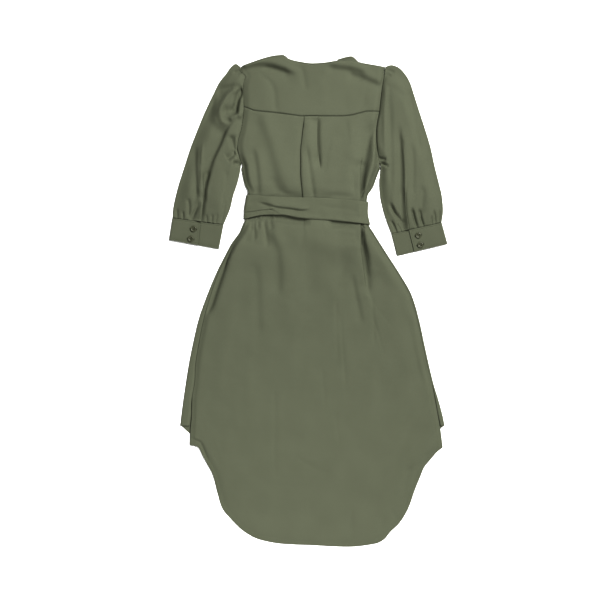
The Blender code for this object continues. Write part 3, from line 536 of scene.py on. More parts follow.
# %% Laps
SECTION = table("spread depths halves layers open_layers", """
    -16 0 -10 0 0
    -11 0 -5 0 0
    -7 0 -2 0 0.03
    -4.4 0.5 0 0 0.12
    -2.8 1 0 0 0.32
    -1.7 1 0.7 0.15 0.58
    -0.9 1 1 0.5 0.8
    -0.3 1 0.7 0.85 0.94
    0.3 1 0 1 1.08
    0.9 0.5 0 1 1.22
    1.6 0 0 1 1.42
    2.4 0 -0.7 1.15 1.62
    3.4 0 -1 1.5 1.8
    5 0 -0.7 1.85 1.93
    7.5 0 0 2 2
    11 0 4 2 2
    16 0 10 2 2
""")

# An open lap's columns lie this share of a row's width apart
LAP_STEP = 0.0058
Lap = namedtuple("Lap", "share side shoulder rows")
LAP_COLUMNS = "across down gathered closed depth lift"
PLEAT_LEFT = Lap(0.475, 1, 0, table(LAP_COLUMNS, """
    -9 150 1 1 12 0.5
    -10.5 172 1 1 12 0.9
    -13.6 204 1 1 11 0.9
    -17.4 243 1 1 9 0.85
    -17.4 294 1 1 7 0.85
    -13.6 345 1 0.9 5 0.7
    -10 415 1 0.3 2 0.3
    -7 472 0.6 0 0 0.2
    -5 560 0 0 0 0.1
    0 700 0 0 0 0
"""))
PLEAT_RIGHT = Lap(0.59, -1, 0, table(LAP_COLUMNS, """
    22 150 1 1 12 0.6
    21.5 172 1 1 12 1.1
    21 192 1 1 11 1.2
    21 217 1 1 8 1.2
    23 243 1 0.8 4 0.9
    26 262 1 0.2 1 0.35
    31 300 0.6 0 0 0.2
    32 352 0.3 0 0 0.15
    34 560 0 0 0 0.1
    36 700 0 0 0 0
"""))
WAIST_LAP = Lap(0.872, -1, 60, table(LAP_COLUMNS, """
    146 205 0 0 0 0
    138 243 0.8 0 0 0.35
    132 276 1 0.5 3 1.2
    128 310 1 1 6 1.6
    128 350 1 1 6 1
    129 416 1 1 7 1
    129.5 436 1 1 7 1.6
    130 480 1 1 6 2.2
    135 516 1 0.8 4 2.1
    141 554 1 0.4 2 1.6
    146 588 1 0 0 1
    155 620 0.9 0 0 0.35
    170 690 0.2 0 0 0.15
    190 760 0 0 0 0
"""))


def crossing(lap, start, end):
    """A lap's columns where its line crosses a row; edge is the distance along the row."""
    direction = unit(end - start)
    offset = np.stack([lap.rows["across"], lap.rows["down"]], axis=-1) - start
    beside = offset @ np.array([-direction[1], direction[0]])
    order = np.argsort(beside)
    values = {name: float(ease(beside[order], lap.rows[name][order], 0)) for name in lap.rows}
    values["edge"] = float(ease(beside[order], (offset @ direction)[order], 0))
    return values


def lap_places(lap, values, width):
    """How far along a row a lap's own columns lie, from the row's start."""
    count = len(SECTION["spread"])
    spread_out = width * (lap.share + LAP_STEP * (np.arange(count) - (count - 1) / 2))
    gathered = values["edge"] + lap.side * SECTION["spread"][:: lap.side]
    turned = SECTION["depths"] * values["depth"] + SECTION["halves"] * LAP_PITCH / 2
    folded = values["edge"] + lap.side * turned[:: lap.side]
    pulled = gathered + values["closed"] * (folded - gathered)
    return spread_out + values["gathered"] * (pulled - spread_out)


def row_of_columns(laps, counts, start, end, bands):
    """How far along a row every column lies, and how high the laps lift it."""
    width = float(np.linalg.norm(end - start))
    crossings = [crossing(lap, start, end) for lap in laps]
    groups = [np.asarray(bands, float)]
    own = [-1] * len(bands)
    for number, (lap, values) in enumerate(zip(laps, crossings)):
        places = lap_places(lap, values, width)
        groups += [np.linspace(groups[-1][-1], places[0], counts[number] + 2)[1:-1], places]
        own += [-1] * counts[number] + [number] * len(places)
    last = width - np.asarray(bands[::-1], float)
    groups += [np.linspace(groups[-1][-1], last[0], counts[-1] + 2)[1:-1], last]
    own = np.array(own + [-1] * (counts[-1] + len(bands)))
    distance = np.concatenate(groups)
    lifted = np.zeros(len(distance))
    for number, (lap, values) in enumerate(zip(laps, crossings)):
        others = [each["edge"] for each in crossings if each is not values]
        shoulder = lap.shoulder or min(abs(edge - values["edge"]) for edge in others)
        inward = lap.side * (distance - values["edge"])
        layers = np.where(inward > 0, 2.0, 0.0)
        closed = values["closed"]
        section = closed * SECTION["layers"] + (1 - closed) * SECTION["open_layers"]
        layers[own == number] = section[:: lap.side]
        fade = 1 - smooth(np.maximum(inward, 0) / shoulder)
        lifted += LAP_PITCH * values["lift"] * layers * fade
    return distance, lifted


# %% [markdown]
# ## The back
#
# Back bodice and skirt are one piece, from the yoke seam to the shirt-tail hem, with a box pleat in the
# middle and a deep fold at the right of the waist. Its rows run from side to side, level at the top and at
# the slits, and sloping with the sash between. The last rows keep a fixed distance from the hem, for its
# double turn.

# %% The back's creases
BACK_CREASES = crease_table("""
    -0.4 3.4 12 32 30: -128 130, -121 157, -106 197, -93 237, -83 277, -71 317, -51 347, -34 362
    -1.8 0.8 7 16 16: -92 296, -78 326, -58 346, -30 356, -8 364
    -1 3 7 15 14: -137 225, -131 250, -124 290, -121 330, -121 364
    -1.2 1.4 5 6 14: -112 358, -80 351, -50 347, -26 350, -2 358
    -0.8 1.2 5 6 14: 36 354, 66 348, 100 351, 130 358
    -1.6 0 1 9 2.5: -9 144, -13 197, -17 237, -19 277, -17 327, -12 362
    -3.6 1.6 3.5 7 6: -4 222, 0 250, 4 277, 9 317, 15 350, 18 372
    -7 0 1 14 3.6: 24 148, 23 200, 24.5 232, 27 262, 30 292
    0 0.7 5 9 9: 98 160, 102 190, 104 220
    -0.8 1.4 4 9 9: 112 284, 119 320, 126 352
    0 0.6 5 10 10: 64 200, 53 245, 44 300
    -3.8 6.2 6.5 24 20: 172 160, 167 180, 160 204, 154 230, 149 257, 143 290, 137 325, 132 364
    -7 0 1 30 9: 141 262, 132 290, 129 320, 129 376
    4.4 0 1 7 7: 176 186, 172 212, 166 242, 159 277, 151 302, 144 332, 143 372
    -5 8 6.5 14 30: -176 436, -188 466, -198 497, -209 537, -221 573, -236 618, -247 660
    -2.4 0 1 9 34: -147 388, -147 420, -150 446, -158 480
    -3 3.6 2.4 4 9: -142 384, -141 418, -139 448
    -4.5 1.4 2.4 3 3.8: -136 380, -135 420, -133 470
    -3.6 1.2 2.4 3 4.6: -128 380, -126 418, -123 440
    -3.6 1.4 3.4 4 6: -113 380, -109 424, -100 484
    -1.8 0.6 3.4 5 6: -96 380, -93 418, -89 440
    0 2.6 12 34 24: -92 370, -90 425, -86 490
    -0.8 2.4 9 24 22: -112 434, -93 452, -79 470, -71 500, -68 545, -69 612
    -0.6 1.5 9 18 18: -132 506, -123 550, -120 600, -119 660, -115 710
    -2.4 0 1 22 24: -10 440, -2 500, 0 550, 2 620
    0 2.8 20 60 50: -60 482, 0 480, 50 492, 100 504, 128 518
    -4 0 1 40 7: 131 400, 131 420, 131 450, 132 480
    -7.6 0 1 45 9: 129 420, 130 452, 133 480, 138 512, 144 550, 150 606
    0.4 4.8 3.8 12 26: 131 420, 136 452, 144 482, 149 506, 150 530, 151 562
    -0.4 2.4 14 34 34: 140 456, 162 502, 188 550, 214 592
    -1 1.8 6.5 14 13: 112 538, 121 590, 129 625, 139 680
    -1.2 0 1 5 5: 157 590, 162 650, 166 730
    -0.8 0 1 5 5: 69 600, 72 690, 75 780
    -0.9 0 1 4 5: 79 630, 84 720, 91 790, 94 850
    -0.8 1 5 12 12: 250 636, 264 700, 277 770, 294 838
    -0.5 0 1 5 6: 34 780, 38 830, 42 880
    -0.5 0 1 6 6: 66 885, 73 935, 80 985
    -0.8 0 1 4.5 4.5: -85 820, -83 900, -84 1000, -82 1064
    -0.5 0 1 6 7: -40 1000, -10 1016, 20 1036, 64 1046
    0.5 0 1 4 4: -20 1004, 8 1016, 34 1010, 60 1000
    -0.7 0 1 4 5: 108 1130, 107 1160, 107 1236
    -0.8 0 1 4 5: 194 1146, 188 1162, 176 1208, 170 1232
    -0.8 0 1 4 4: 206 1136, 214 1149, 224 1165, 236 1180
    -1 0 1 3 4: 266 680, 273 712, 284 757, 296 802, 306 840
    -1.2 0 1 9 9: 304 985, 286 1013, 262 1033, 238 1048
    -0.9 0 1 8 9: 264 1016, 250 1045, 240 1095, 234 1130
    -1.4 0 1 3.5 3.5: -294 950, -284 962, -271 967, -264 980, -256 1001, -248 1022
    -7 0 1 8 9: -100 408, -77 410, -18 416, 10 418
    -7 0 1 8 8: 40 422, 66 424, 123 430, 146 430
    -5 0 1 8 7: -160 415, -141 414, -100 410, -84 408
    0.7 0 1 20 26: -150 700, -168 800, -176 900, -168 980
    0.6 0 1 18 18: 8 640, 2 740, 12 860
    0.6 0 1 22 18: 206 770, 222 860, 214 960
""")
EDGE_BAND = [0, 1.2, 4.2, 7.4, 8.0, 8.6, 11]
HEM_BAND = [10, 8.6, 8.0, 7.4, 4.2, 1.2, 0]
HEM_STITCH = 8.0
BACK_LAPS = [PLEAT_LEFT, PLEAT_RIGHT, WAIST_LAP]
BACK_COUNTS = [54, 4, 28, 7]
BENT_ROWS, BODY_ROWS, TAIL_ROWS = 13, 147, 80
BENT_END = 190.0
CORNER_POWER = 6
HEM_STEP = 0.004

# The creases fade out beside the back's sides, and beside the yoke seam down to a share
SIDE_CALM = 6.0
BACK_RIPPLES = [(0.3, 96, 5), (0.06, 26, 6)]
SEAM_CALM, SEAM_CALM_SHARE = 14.0, 0.15


# %% The back's rows
def back_side(down, side):
    """How far across the back's side edge lies."""
    sign = 1 if side == "left" else -1
    if down <= UNDERARM:
        return float(ease(ARMHOLE[side + "_down"], ARMHOLE[side], down))
    if down <= SLIT_TOP:
        return float(read(BODY, down, side) + sign * (read(BODY, down, "strip_" + side) + SEAM))
    slit = BACK_SLIT_LEFT if side == "left" else BACK_SLIT_RIGHT
    return float(ease(slit[:, 1], slit[:, 0], down))


def side_down(down, side):
    """A row's own height at a side, where the waist rows slope with the sash."""
    return float(down + (-1 if side == "left" else 1) * WAIST_TILT / 2 * near_waist(down))


def back_row(down, seam_share=0.0):
    """The spots of one row, and how high the laps lift them; seam_share bends it to the yoke seam."""
    ends = []
    for side, seam_end in (("left", YOKE_SEAM[0, 1]), ("right", YOKE_SEAM[-1, 1])):
        own = side_down(down, side) * (1 - seam_share) + seam_end * seam_share
        ends.append(np.array([back_side(own, side), own]))
    distance, lifted = row_of_columns(BACK_LAPS, BACK_COUNTS, *ends, EDGE_BAND)
    spots = ends[0] + np.outer(distance, unit(ends[1] - ends[0]))
    if seam_share:
        spots[:, 1] = down * (1 - seam_share) + seam_share * (read_line(YOKE_SEAM, spots[:, 0]) + SEAM / 2)
    return spots, lifted


def tail_rows():
    """The rows between the slits' height and the hem, the last ones side by side with the hem."""
    high = back_row(SLIT_TOP)[0]
    shares = (high[:, 0] - high[0, 0]) / (high[-1, 0] - high[0, 0])
    hem = along(BACK_HEM, shares)
    after, before = np.clip(shares + HEM_STEP, 0, 1), np.clip(shares - HEM_STEP, 0, 1)
    run = along(BACK_HEM, after) - along(BACK_HEM, before)
    inward = np.stack([run[:, 1], -run[:, 0]], axis=-1) / np.linalg.norm(run, axis=1)[:, None]
    for _ in range(3):
        inward[1:-1] = (inward[:-2] + inward[1:-1] + inward[2:]) / 3
    inward /= np.linalg.norm(inward, axis=1)[:, None]
    shares = shares[:, None]
    rows = [high + (hem + inward * HEM_BAND[0] - high) * share for share in np.linspace(0, 1, TAIL_ROWS)[1:]]
    rows += [hem + inward * distance for distance in HEM_BAND[1:]]
    for row in rows:
        left, right = row[0, 1], row[-1, 1]
        to_left = np.array([back_side(left, "left"), left]) - row[0]
        to_right = np.array([back_side(right, "right"), right]) - row[-1]
        row += (1 - shares) ** CORNER_POWER * to_left + shares**CORNER_POWER * to_right
    return rows


def back_height(spots, lifted):
    """The back's middle surface over the table."""
    calm = smooth(from_sides(spots) / SIDE_CALM)
    seam = smooth((spots[..., 1] - read_line(YOKE_SEAM, spots[..., 0])) / SEAM_CALM + SEAM_CALM_SHARE)
    folds = creased(BACK_CREASES, spots) + sum(ripple(spots, *sizes) for sizes in BACK_RIPPLES)
    lying = np.maximum(back_level(spots) + folds * calm * seam, lowest_back(spots))
    return lying + lifted + HEM_DOUBLED * (1 - smooth((from_hem(spots) - HEM_TURN) / HEM_TURN_FADE))


down_rows = [back_row(BENT_END, 1 - share) for share in np.linspace(0, 1, BENT_ROWS)[:-1]]
down_rows += [back_row(down) for down in np.linspace(BENT_END, SLIT_TOP, BODY_ROWS)]
back_spots = np.array([spots for spots, _ in down_rows] + tail_rows())
back_lift = np.zeros(back_spots.shape[:2])
back_lift[: len(down_rows)] = [lifted for _, lifted in down_rows]
back_grid = np.dstack([back_spots, back_height(back_spots, back_lift)])
back = cloth("back_cloth", back_grid)

# %% [markdown]
# ## The yoke
#
# The yoke is a straight band of cloth over the shoulders. Its lower edge is sewn to the back, its top edge
# rolls over the shoulders and round the neck, where it is turned under by 7 mm.

# %% The yoke
YOKE_CREASES = crease_table("""
    0 6.2 7 24 20: -182 36, -161 31, -121 24, -96 26, -73 33, -46 43, -22 52
    -2.2 1.6 5 12 11: -116 26, -92 29, -70 35, -44 45
    0 5.2 7 20 18: 44 24, 66 29, 95 33, 122 38, 150 50
    0 4.6 7 20 18: 96 42, 135 54, 155 63, 172 70, 194 80
    -1.2 1.2 6 10 10: -130 40, -116 47, -96 62, -83 87, -78 132, -77 156
    -1.4 0 1 5 7: -24 24, -14 45, -9 75, -8 94
    -1 0 1 9 9: 150 80, 140 106, 140 140
    0.8 0 1 14 14: 20 50, 36 90, 34 130
""")
YOKE_COLUMNS, YOKE_ROWS = 96, 44
YOKE_CORNER_POWER = 8
YOKE_SIDE_CALM, YOKE_EDGE_CALM = 10.0, 7.0
YOKE_RIPPLE = (0.25, 80, 7)

# Where the turned edge under the neck ends, in from the fold
NECK_TURN = (4.0, 7.0)


def yoke_height(spots, edge):
    calm = smooth(from_sides(spots) / YOKE_SIDE_CALM) * smooth(edge / YOKE_EDGE_CALM)
    seam = smooth((read_line(YOKE_SEAM, spots[..., 0]) - spots[..., 1]) / SEAM_CALM + SEAM_CALM_SHARE)
    folds = creased(YOKE_CREASES, spots) + ripple(spots, *YOKE_RIPPLE)
    return np.maximum(back_level(spots) + folds * calm * seam, lowest_back(spots))


def make_yoke():
    """The yoke's grid, from its seam up to the neck and round under it."""
    left, right = armhole_spots("left"), armhole_spots("right")
    shares = np.unique(np.concatenate([np.linspace(0, 1, YOKE_COLUMNS), [0.003, 0.01, 0.99, 0.997]]))[:, None]
    seam = left[YOKE_END] + (right[YOKE_END] - left[YOKE_END]) * shares
    seam[:, 1] = read_line(YOKE_SEAM, seam[:, 0]) - SEAM / 2
    top = left[0] + (right[0] - left[0]) * shares
    top[:, 1] = read_line(YOKE_TOP, top[:, 0])
    numbers = np.arange(YOKE_END + 1)
    rows = []
    for number in np.linspace(YOKE_END, 0, YOKE_ROWS):
        from_left, from_right = (
            np.array([ease(numbers, line[: YOKE_END + 1, axis], number) for axis in (0, 1)])
            for line in (left, right)
        )
        share = (left[YOKE_END, 1] - from_left[1]) / (left[YOKE_END, 1] - left[0, 1])
        row = seam + (top - seam) * share
        to_left, to_right = from_left - row[0], from_right - row[-1]
        rows.append(row + (1 - shares) ** YOKE_CORNER_POWER * to_left + shares**YOKE_CORNER_POWER * to_right)
    spots = np.array(rows)
    grid = np.dstack([spots, yoke_height(spots, nearest(spots, top)[0])])
    edge = np.vstack([2 * top[0] - top[1], top, 2 * top[-1] - top[-2]])
    turned = []
    for number, spot in enumerate(top):
        direction = unit(unit(spot - edge[number]) + unit(edge[number + 2] - spot))
        inward = np.array([-direction[1], direction[0]])
        section = roll(spot, inward, grid[-1, number, 2], FLOOR_LEVEL + LAYER)
        under = [(*(spot + inward * reach), FLOOR_LEVEL + LAYER) for reach in NECK_TURN]
        turned.append(np.vstack([section, under]))
    grid[-1, :, :2] = np.array(turned)[:, 0, :2]
    return np.concatenate([grid, np.array(turned).transpose(1, 0, 2)[1:]])


yoke_grid = make_yoke()
yoke = cloth("yoke_cloth", yoke_grid)

# %% [markdown]
# ## The fronts
#
# The fronts are hidden except for their sides, which roll up round the fold and lie as a strip on the back,
# and for their hem corners below the slits. They are still whole pieces, creased like the rest.


# %% The fronts
FRONT_COLUMNS, ARMHOLE_ROWS, SIDE_ROWS = 56, 46, 120
FOLD_COLUMNS = 12
ARMHOLE_MARGIN = 0.3
NARROW_STRIP, STRIP_SHARE = 3, 0.4
CORNER_ROWS = np.append(np.linspace(0, 0.92, 19)[1:], [0.925, 0.99, 1.0])


def make_front(side, edge, hem, top, level):
    """A front: flat beneath, rolled up round the side fold, with a strip on the back."""
    sign = 1 if side == "left" else -1
    inward = np.array([sign, 0.0])
    arm = armhole_spots(side)
    flat = np.linspace(0, 1, FRONT_COLUMNS)
    grid = []

    def flat_row(row):
        """A row above the underarm: the columns of the fold lie flat beside the armhole."""
        beside = row[-1] + np.outer(np.linspace(1, 0, FOLD_COLUMNS)[1:], row[-2] - row[-1]) * 0.5
        spots = np.vstack([row[:-1], beside])
        grid.append(np.column_stack([spots, level(spots)]))

    def folded_row(down, bottom):
        fold = np.array([float(read(BODY, down, side)), down])
        strip = float(read(BODY, down, "strip_" + side))
        seam = np.array([fold[0] + sign * strip, down])
        low, high = float(level(fold[None])[0]), float(back_level(seam[None], False)[0])
        section = roll(fold, inward, high, low)[::-1]
        spots = bottom(section[0, :2])[:-1]
        within = seam[0] - sign * (strip - NARROW_STRIP) * STRIP_SHARE
        end = np.array([[within, down, high], [*seam, high]])
        grid.append(np.vstack([np.column_stack([spots, level(spots)]), section, end]))

    flat_row(along(top, flat))
    for down in np.linspace(45, UNDERARM, ARMHOLE_ROWS):
        start = np.array([ease(edge[:, 1], edge[:, 0], down), down])
        share = (down - arm[0, 1]) / (arm[-1, 1] - arm[0, 1])
        end = arm[0] + (arm[-1] - arm[0]) * share + inward * (SEAM + ARMHOLE_MARGIN)
        flat_row(start + np.outer(flat, end - start))
    for down in np.linspace(UNDERARM + 5, SLIT_TOP, SIDE_ROWS):
        across = float(ease(edge[:, 1], edge[:, 0], down))
        start = np.array([across, down + WAIST_TILT * across / WAIST_WIDTH * near_waist(down)])
        folded_row(side_down(down, side), lambda tangent: start + np.outer(flat, tangent - start))
    high_start = np.array([edge[-1, 0], SLIT_TOP])
    for down in SLIT_TOP + (hem[-1, 1] - SLIT_TOP) * CORNER_ROWS:
        share = (down - SLIT_TOP) / (hem[-1, 1] - SLIT_TOP)

        def bottom(tangent):
            high = high_start + np.outer(flat, np.array([tangent[0], SLIT_TOP]) - high_start)
            spots = high + (along(hem, flat) - high) * share
            return spots + flat[:, None] ** CORNER_POWER * (tangent - spots[-1])

        folded_row(down, bottom)
    return np.array(grid)


over_grid = make_front("left", OVER_EDGE, OVER_HEM, OVER_TOP, over_level)
front_over = cloth("front_over_cloth", over_grid)
under_grid = make_front("right", UNDER_EDGE, UNDER_HEM, UNDER_TOP, under_level)
front_under = cloth("front_under_cloth", under_grid)

# %% [markdown]
# ## The sleeves
#
# A sleeve is a tube that lies flattened. Its head and its cuff end are gathered, so it stands highest
# between them. Above the cuff's overlap the sleeve is slit, and the cloth folds over itself in a lap that
# runs up the sleeve. The rows run round the tube, from the outer edge over the top to the inner edge and
# back beneath.

# %% The sleeves' creases and laps
PUFF = points("0 5, 0.02 6, 0.05 8, 0.1 10, 0.2 11, 0.4 10, 0.6 9.4, 0.78 8.8, 0.88 6.6, 0.96 3.8, 1 2")
SLIT_LEFT = Lap(0.5, -1, 22, table(LAP_COLUMNS, """
    -246 240 0 0 0 0
    -256 275 0.8 0 0 0.3
    -262 300 1 0.3 1 0.8
    -262 330 1 1 3 1.3
    -263 360 1 1 4 2
    -266 390 1 1 4 2.2
    -270 428 1 1 4 1.2
"""))
SLIT_RIGHT = Lap(0.58, 1, 22, table(LAP_COLUMNS, """
    232 190 0 0 0 0
    238 225 0.8 0 0 0.35
    241 262 1 0 0 0.5
    243 300 1 0 0 0.6
    243 345 1 0.5 2 0.8
    243 388 1 1 4 1
    252 444 1 1 4 0.7
"""))
LEFT_CREASES = crease_table("""
    -5 0 1 2.8 2.8: -160 34, -169 37, -177 41, -188 46
    -4.6 0 1 2.8 2.8: -158 44, -168 44, -180 49
    0 4.4 7 24 26: -240 86, -218 79, -196 77, -172 76, -156 76
    4.6 0 1 7 6: -158 80, -172 85, -197 99, -211 120, -220 144, -215 166, -200 174, -186 168
    3.8 0 1 6 6: -198 166, -184 156, -174 152, -160 152
    -12 0 1 7 8: -160 80, -172 97, -178 112, -181 126, -185 143, -189 154
    -6 0 1 10 10: -176 134, -194 139, -213 142
    2.4 0 1 5 5: -165 100, -170 130, -171 168
    -1 3.2 9 22 14: -222 108, -235 136, -237 160, -227 178, -208 189, -192 194
    -2.6 5 4.4 26 14: -180 152, -188 168, -205 193, -218 225, -236 264, -247 300, -258 345, -260 372
    -6 0 1 6 5: -248 286, -256 320, -260 346, -261 376
    2.8 0 1 3.5 3: -262 214, -265 245, -266 300, -266 345, -265 376
    -2.2 2.8 5 12 8: -277 222, -278 280, -277 325, -273 368
    -8 0 1 18 2.8: -259 336, -261 362, -264 390, -267 424, -269 456
    -7.5 0 1 6 9: -194 200, -188 224, -182 250
    -7 0 1 6 9: -206 262, -192 254, -180 244
    -8 0 1 5 5: -190 272, -178 271, -160 276
    1.4 0 1 14 14: -222 260, -226 320, -236 390
    -1.6 0 1 6 7: -203 285, -204 330, -211 376
    -2 0 1 4 4: -206 360, -212 390, -216 424
    -3.4 0 1 4.5 4.5: -301 356, -298 380, -299 408
    -4.6 0 1 4.5 5: -270 364, -278 382, -288 400, -298 418
    -3 0 1 2.8 2.8: -314 388, -313 404, -311 432
    -2.4 0 1 3 3: -330 382, -328 398, -328 422
    -2.2 0 1 3 3: -255 396, -254 412, -253 436
    -2 0 1 3 3: -240 396, -241 412, -243 438
    -2 0 1 3 3: -227 394, -230 412, -235 440
""")
RIGHT_CREASES = crease_table("""
    -3.6 0 1 2.8 2.8: 186 38, 196 38, 206 40, 216 46
    -3 0 1 2.8 2.8: 184 48, 196 49, 208 54
    0 1.6 9 20 20: 184 68, 205 75, 225 86, 246 106
    2.4 0 1 5 5: 194 62, 193 100, 190 150, 190 200, 192 250
    -1.4 1.8 6 12 16: 205 80, 209 180, 211 260, 209 340, 204 400
    -0.8 1.4 6 12 12: 252 70, 262 125, 272 180, 286 250
    -1 5 4.4 16 22: 228 166, 234 225, 237 270, 238 300, 238 350, 239 380, 242 414, 250 458
    -4.5 0 1 7 5: 236 330, 237 360, 240 400, 246 440
    0.8 0 1 4 8: 243 205, 247 268, 249 306, 248 345, 250 388, 258 444
    -4.6 0 1 3.5 3.5: 166 255, 178 259, 196 262
    -5.2 0 1 3.5 3.5: 168 272, 182 272, 202 281
    1.6 0 1 12 12: 194 290, 196 340, 206 400
    -8 0 1 5 5: 202 366, 213 391, 225 409, 237 429, 249 452
    -8 0 1 3 3.6: 257 380, 262 398, 267 418, 275 446
    -6.5 0 1 3.2 3.2: 277 382, 281 406, 286 424, 293 444
    -4.2 0 1 2.8 2.8: 309 400, 309 418, 310 438
    -4.2 0 1 3 3: 313 386, 316 404, 318 430
    -3.2 0 1 2.8 2.8: 328 386, 328 402, 327 428
    -5.2 0 1 3 3: 206 412, 217 436, 224 462
    -5 0 1 3 3: 222 420, 231 440, 236 462
    -3 0 1 8 8: 288 326, 284 370, 281 406
    -0.6 1.6 5 12 12: 261 215, 266 290, 264 356
""")
SLEEVE_ROWS = np.concatenate([np.linspace(0, 0.06, 10)[:-1], np.linspace(0.06, 1, 118)])
SLEEVE_COUNTS = [40, 26]
SLEEVE_BAND = [0, 2, 4.5]
SLEEVE_LENGTH = 390.0
SLEEVE_DROP, DROP_SHARE = 0.9, 0.25
INNER_POWER = 1.6
UNDER_COLUMNS = 32
SLEEVE_SIDE_CALM = 0.07
HEAD_CALM, HEAD_CALM_SHARE = 0.03, 0.1
WRIST_CALM, WRIST_CALM_SHARE = 0.02, 0.35
SLEEVE_RIPPLE, BENEATH_RIPPLE = (0.28, 60), (0.8, 60)
UNDERARM_SHARE = 0.75
CROWN_OUTER, CROWN_INNER = 0.26, 0.2
HEAD_BEND = 0.3


# %% The sleeves
def make_sleeve(side, outer, inner, lap, creases, seed):
    """A flattened tube, open at the armhole and at the cuff."""
    seam = armhole_spots(side) - np.array([SEAM if side == "left" else -SEAM, 0])
    seam[-1] = seam[-2] + (seam[-1] - seam[-2]) * UNDERARM_SHARE
    outer_spots, inner_spots = along(outer, SLEEVE_ROWS), along(inner, SLEEVE_ROWS**INNER_POWER)
    opening = None
    grid = []
    for share_down, start, end in zip(SLEEVE_ROWS, outer_spots, inner_spots):
        direction = unit(end - start)
        high = BACK_LEVEL - SLEEVE_DROP * float(smooth(share_down / DROP_SHARE))
        outer_roll = roll(start, direction, high, FLOOR_LEVEL)
        inner_roll = roll(end, -direction, high, FLOOR_LEVEL)
        first, last = outer_roll[0, :2], inner_roll[0, :2]
        distance, lifted = row_of_columns([lap], SLEEVE_COUNTS, first, last, SLEEVE_BAND)
        shares = distance / np.linalg.norm(last - first)
        spots = first + np.outer(distance, unit(last - first))
        if opening is None:
            opening = (first, last)
        straight = opening[0] + np.outer(shares, opening[1] - opening[0])
        bend = along(seam, np.clip(shares, 0, 1)) - straight
        bend[[0, -1]] = 0
        spots += bend * (1 - float(smooth(share_down / HEAD_BEND)))
        crown = smooth(shares / CROWN_OUTER) * smooth((1 - shares) / CROWN_INNER)
        calm = smooth(shares / SLEEVE_SIDE_CALM) * smooth((1 - shares) / SLEEVE_SIDE_CALM)
        head = smooth(share_down / HEAD_CALM + HEAD_CALM_SHARE)
        ends = head * smooth((1 - share_down) / WRIST_CALM + WRIST_CALM_SHARE)
        folds = creased(creases, spots) + ripple(spots, *SLEEVE_RIPPLE, seed)
        height = high + float(read_line(PUFF, share_down)) * crown + folds * calm * float(ends) + lifted
        dip, reach = ARMHOLE_DIPS[side == "right"]
        height -= dip * crown * bell(share_down * SLEEVE_LENGTH / reach)
        top = np.column_stack([spots, np.maximum(height, FLOOR_LEVEL + SHELL + 2 * CLEARANCE)])
        beneath = np.linspace(0, 1, UNDER_COLUMNS)[1:-1, None]
        under = inner_roll[-1, :2] + (outer_roll[-1, :2] - inner_roll[-1, :2]) * beneath
        pressed = 0.5 * np.abs(ripple(under, *BENEATH_RIPPLE, seed + 1)) * np.sin(math.pi * beneath[:, 0])
        below = np.column_stack([under, FLOOR_LEVEL + pressed])
        grid.append(np.vstack([top[:-1], inner_roll, below, outer_roll[:0:-1]]))
    return np.array(grid)


left_grid = make_sleeve("left", SLEEVE_LEFT_OUTER, SLEEVE_LEFT_INNER, SLIT_LEFT, LEFT_CREASES, 11)
sleeve_left = cloth("sleeve_left_cloth", left_grid, looped=True)
right_grid = make_sleeve("right", SLEEVE_RIGHT_OUTER, SLEEVE_RIGHT_INNER, SLIT_RIGHT, RIGHT_CREASES, 21)
sleeve_right = cloth("sleeve_right_cloth", right_grid, looped=True)

# %% [markdown]
# ## The cuffs
#
# A cuff is a double, pressed band. One end lies over the other and is buttoned. It is laid as one strip
# that starts under the overlap, goes round beneath and ends on top. A thicker shell stands for the doubled
# cloth.

# %% The cuffs
CUFF_CLOTH = 1.4
CUFF_LOW, CUFF_MIDDLE, CUFF_HIGH = 0.8, 2.7, 4.6
CUFF_ROWS = [
    0, 0.008, 0.03, 0.062, 0.07, 0.078, 0.1, 0.18, 0.28, 0.4, 0.5, 0.6, 0.72, 0.82,
    0.9, 0.922, 0.93, 0.938, 0.97, 0.992, 1,
]  # fmt: skip
TOPSTITCH_ROWS = (4, 16)

# Where the stitches and the pressed edges sink the cloth, down the cuff: share, reach and depth
CUFF_PRESSES = [(0.07, 0.02, 0.35), (0.93, 0.02, 0.35), (0, 0.012, 0.3), (1, 0.012, 0.3)]

# The under layer's columns beside the overlap's edge, as shares of the cuff's width, and the dip there
UNDER_START, UNDER_END = 0.045, 0.96
UNDER_NEAR_EDGE = [
    -0.16, -0.12, -0.09, -0.06, -0.04, -0.02, -0.01, -0.004, 0, 0.004, 0.008, 0.012, 0.016, 0.02, 0.03,
]  # fmt: skip
UNDER_DIP, UNDER_DIP_START, UNDER_DIP_REACH = 0.6, 0.01, 0.016
CUFF_UNDER, CUFF_BELOW, CUFF_TURN, CUFF_OVER = 30, 20, 9, 26
CUFF_TOP_START = CUFF_UNDER + CUFF_TURN + CUFF_BELOW + CUFF_TURN

# The topstitch's columns and the edge's, as distances in from the overlap's edge
STITCH_COLUMNS, END_COLUMNS = np.array([4.6, 4.0, 3.4]), np.linspace(2.4, 0, 4)
STITCH_DIP = 0.12
OVER_START, OVER_END = 0.05, 6.4
BELOW_START, BELOW_END = 0.93, 0.07
CUFF_RIPPLE = (0.12, 30)


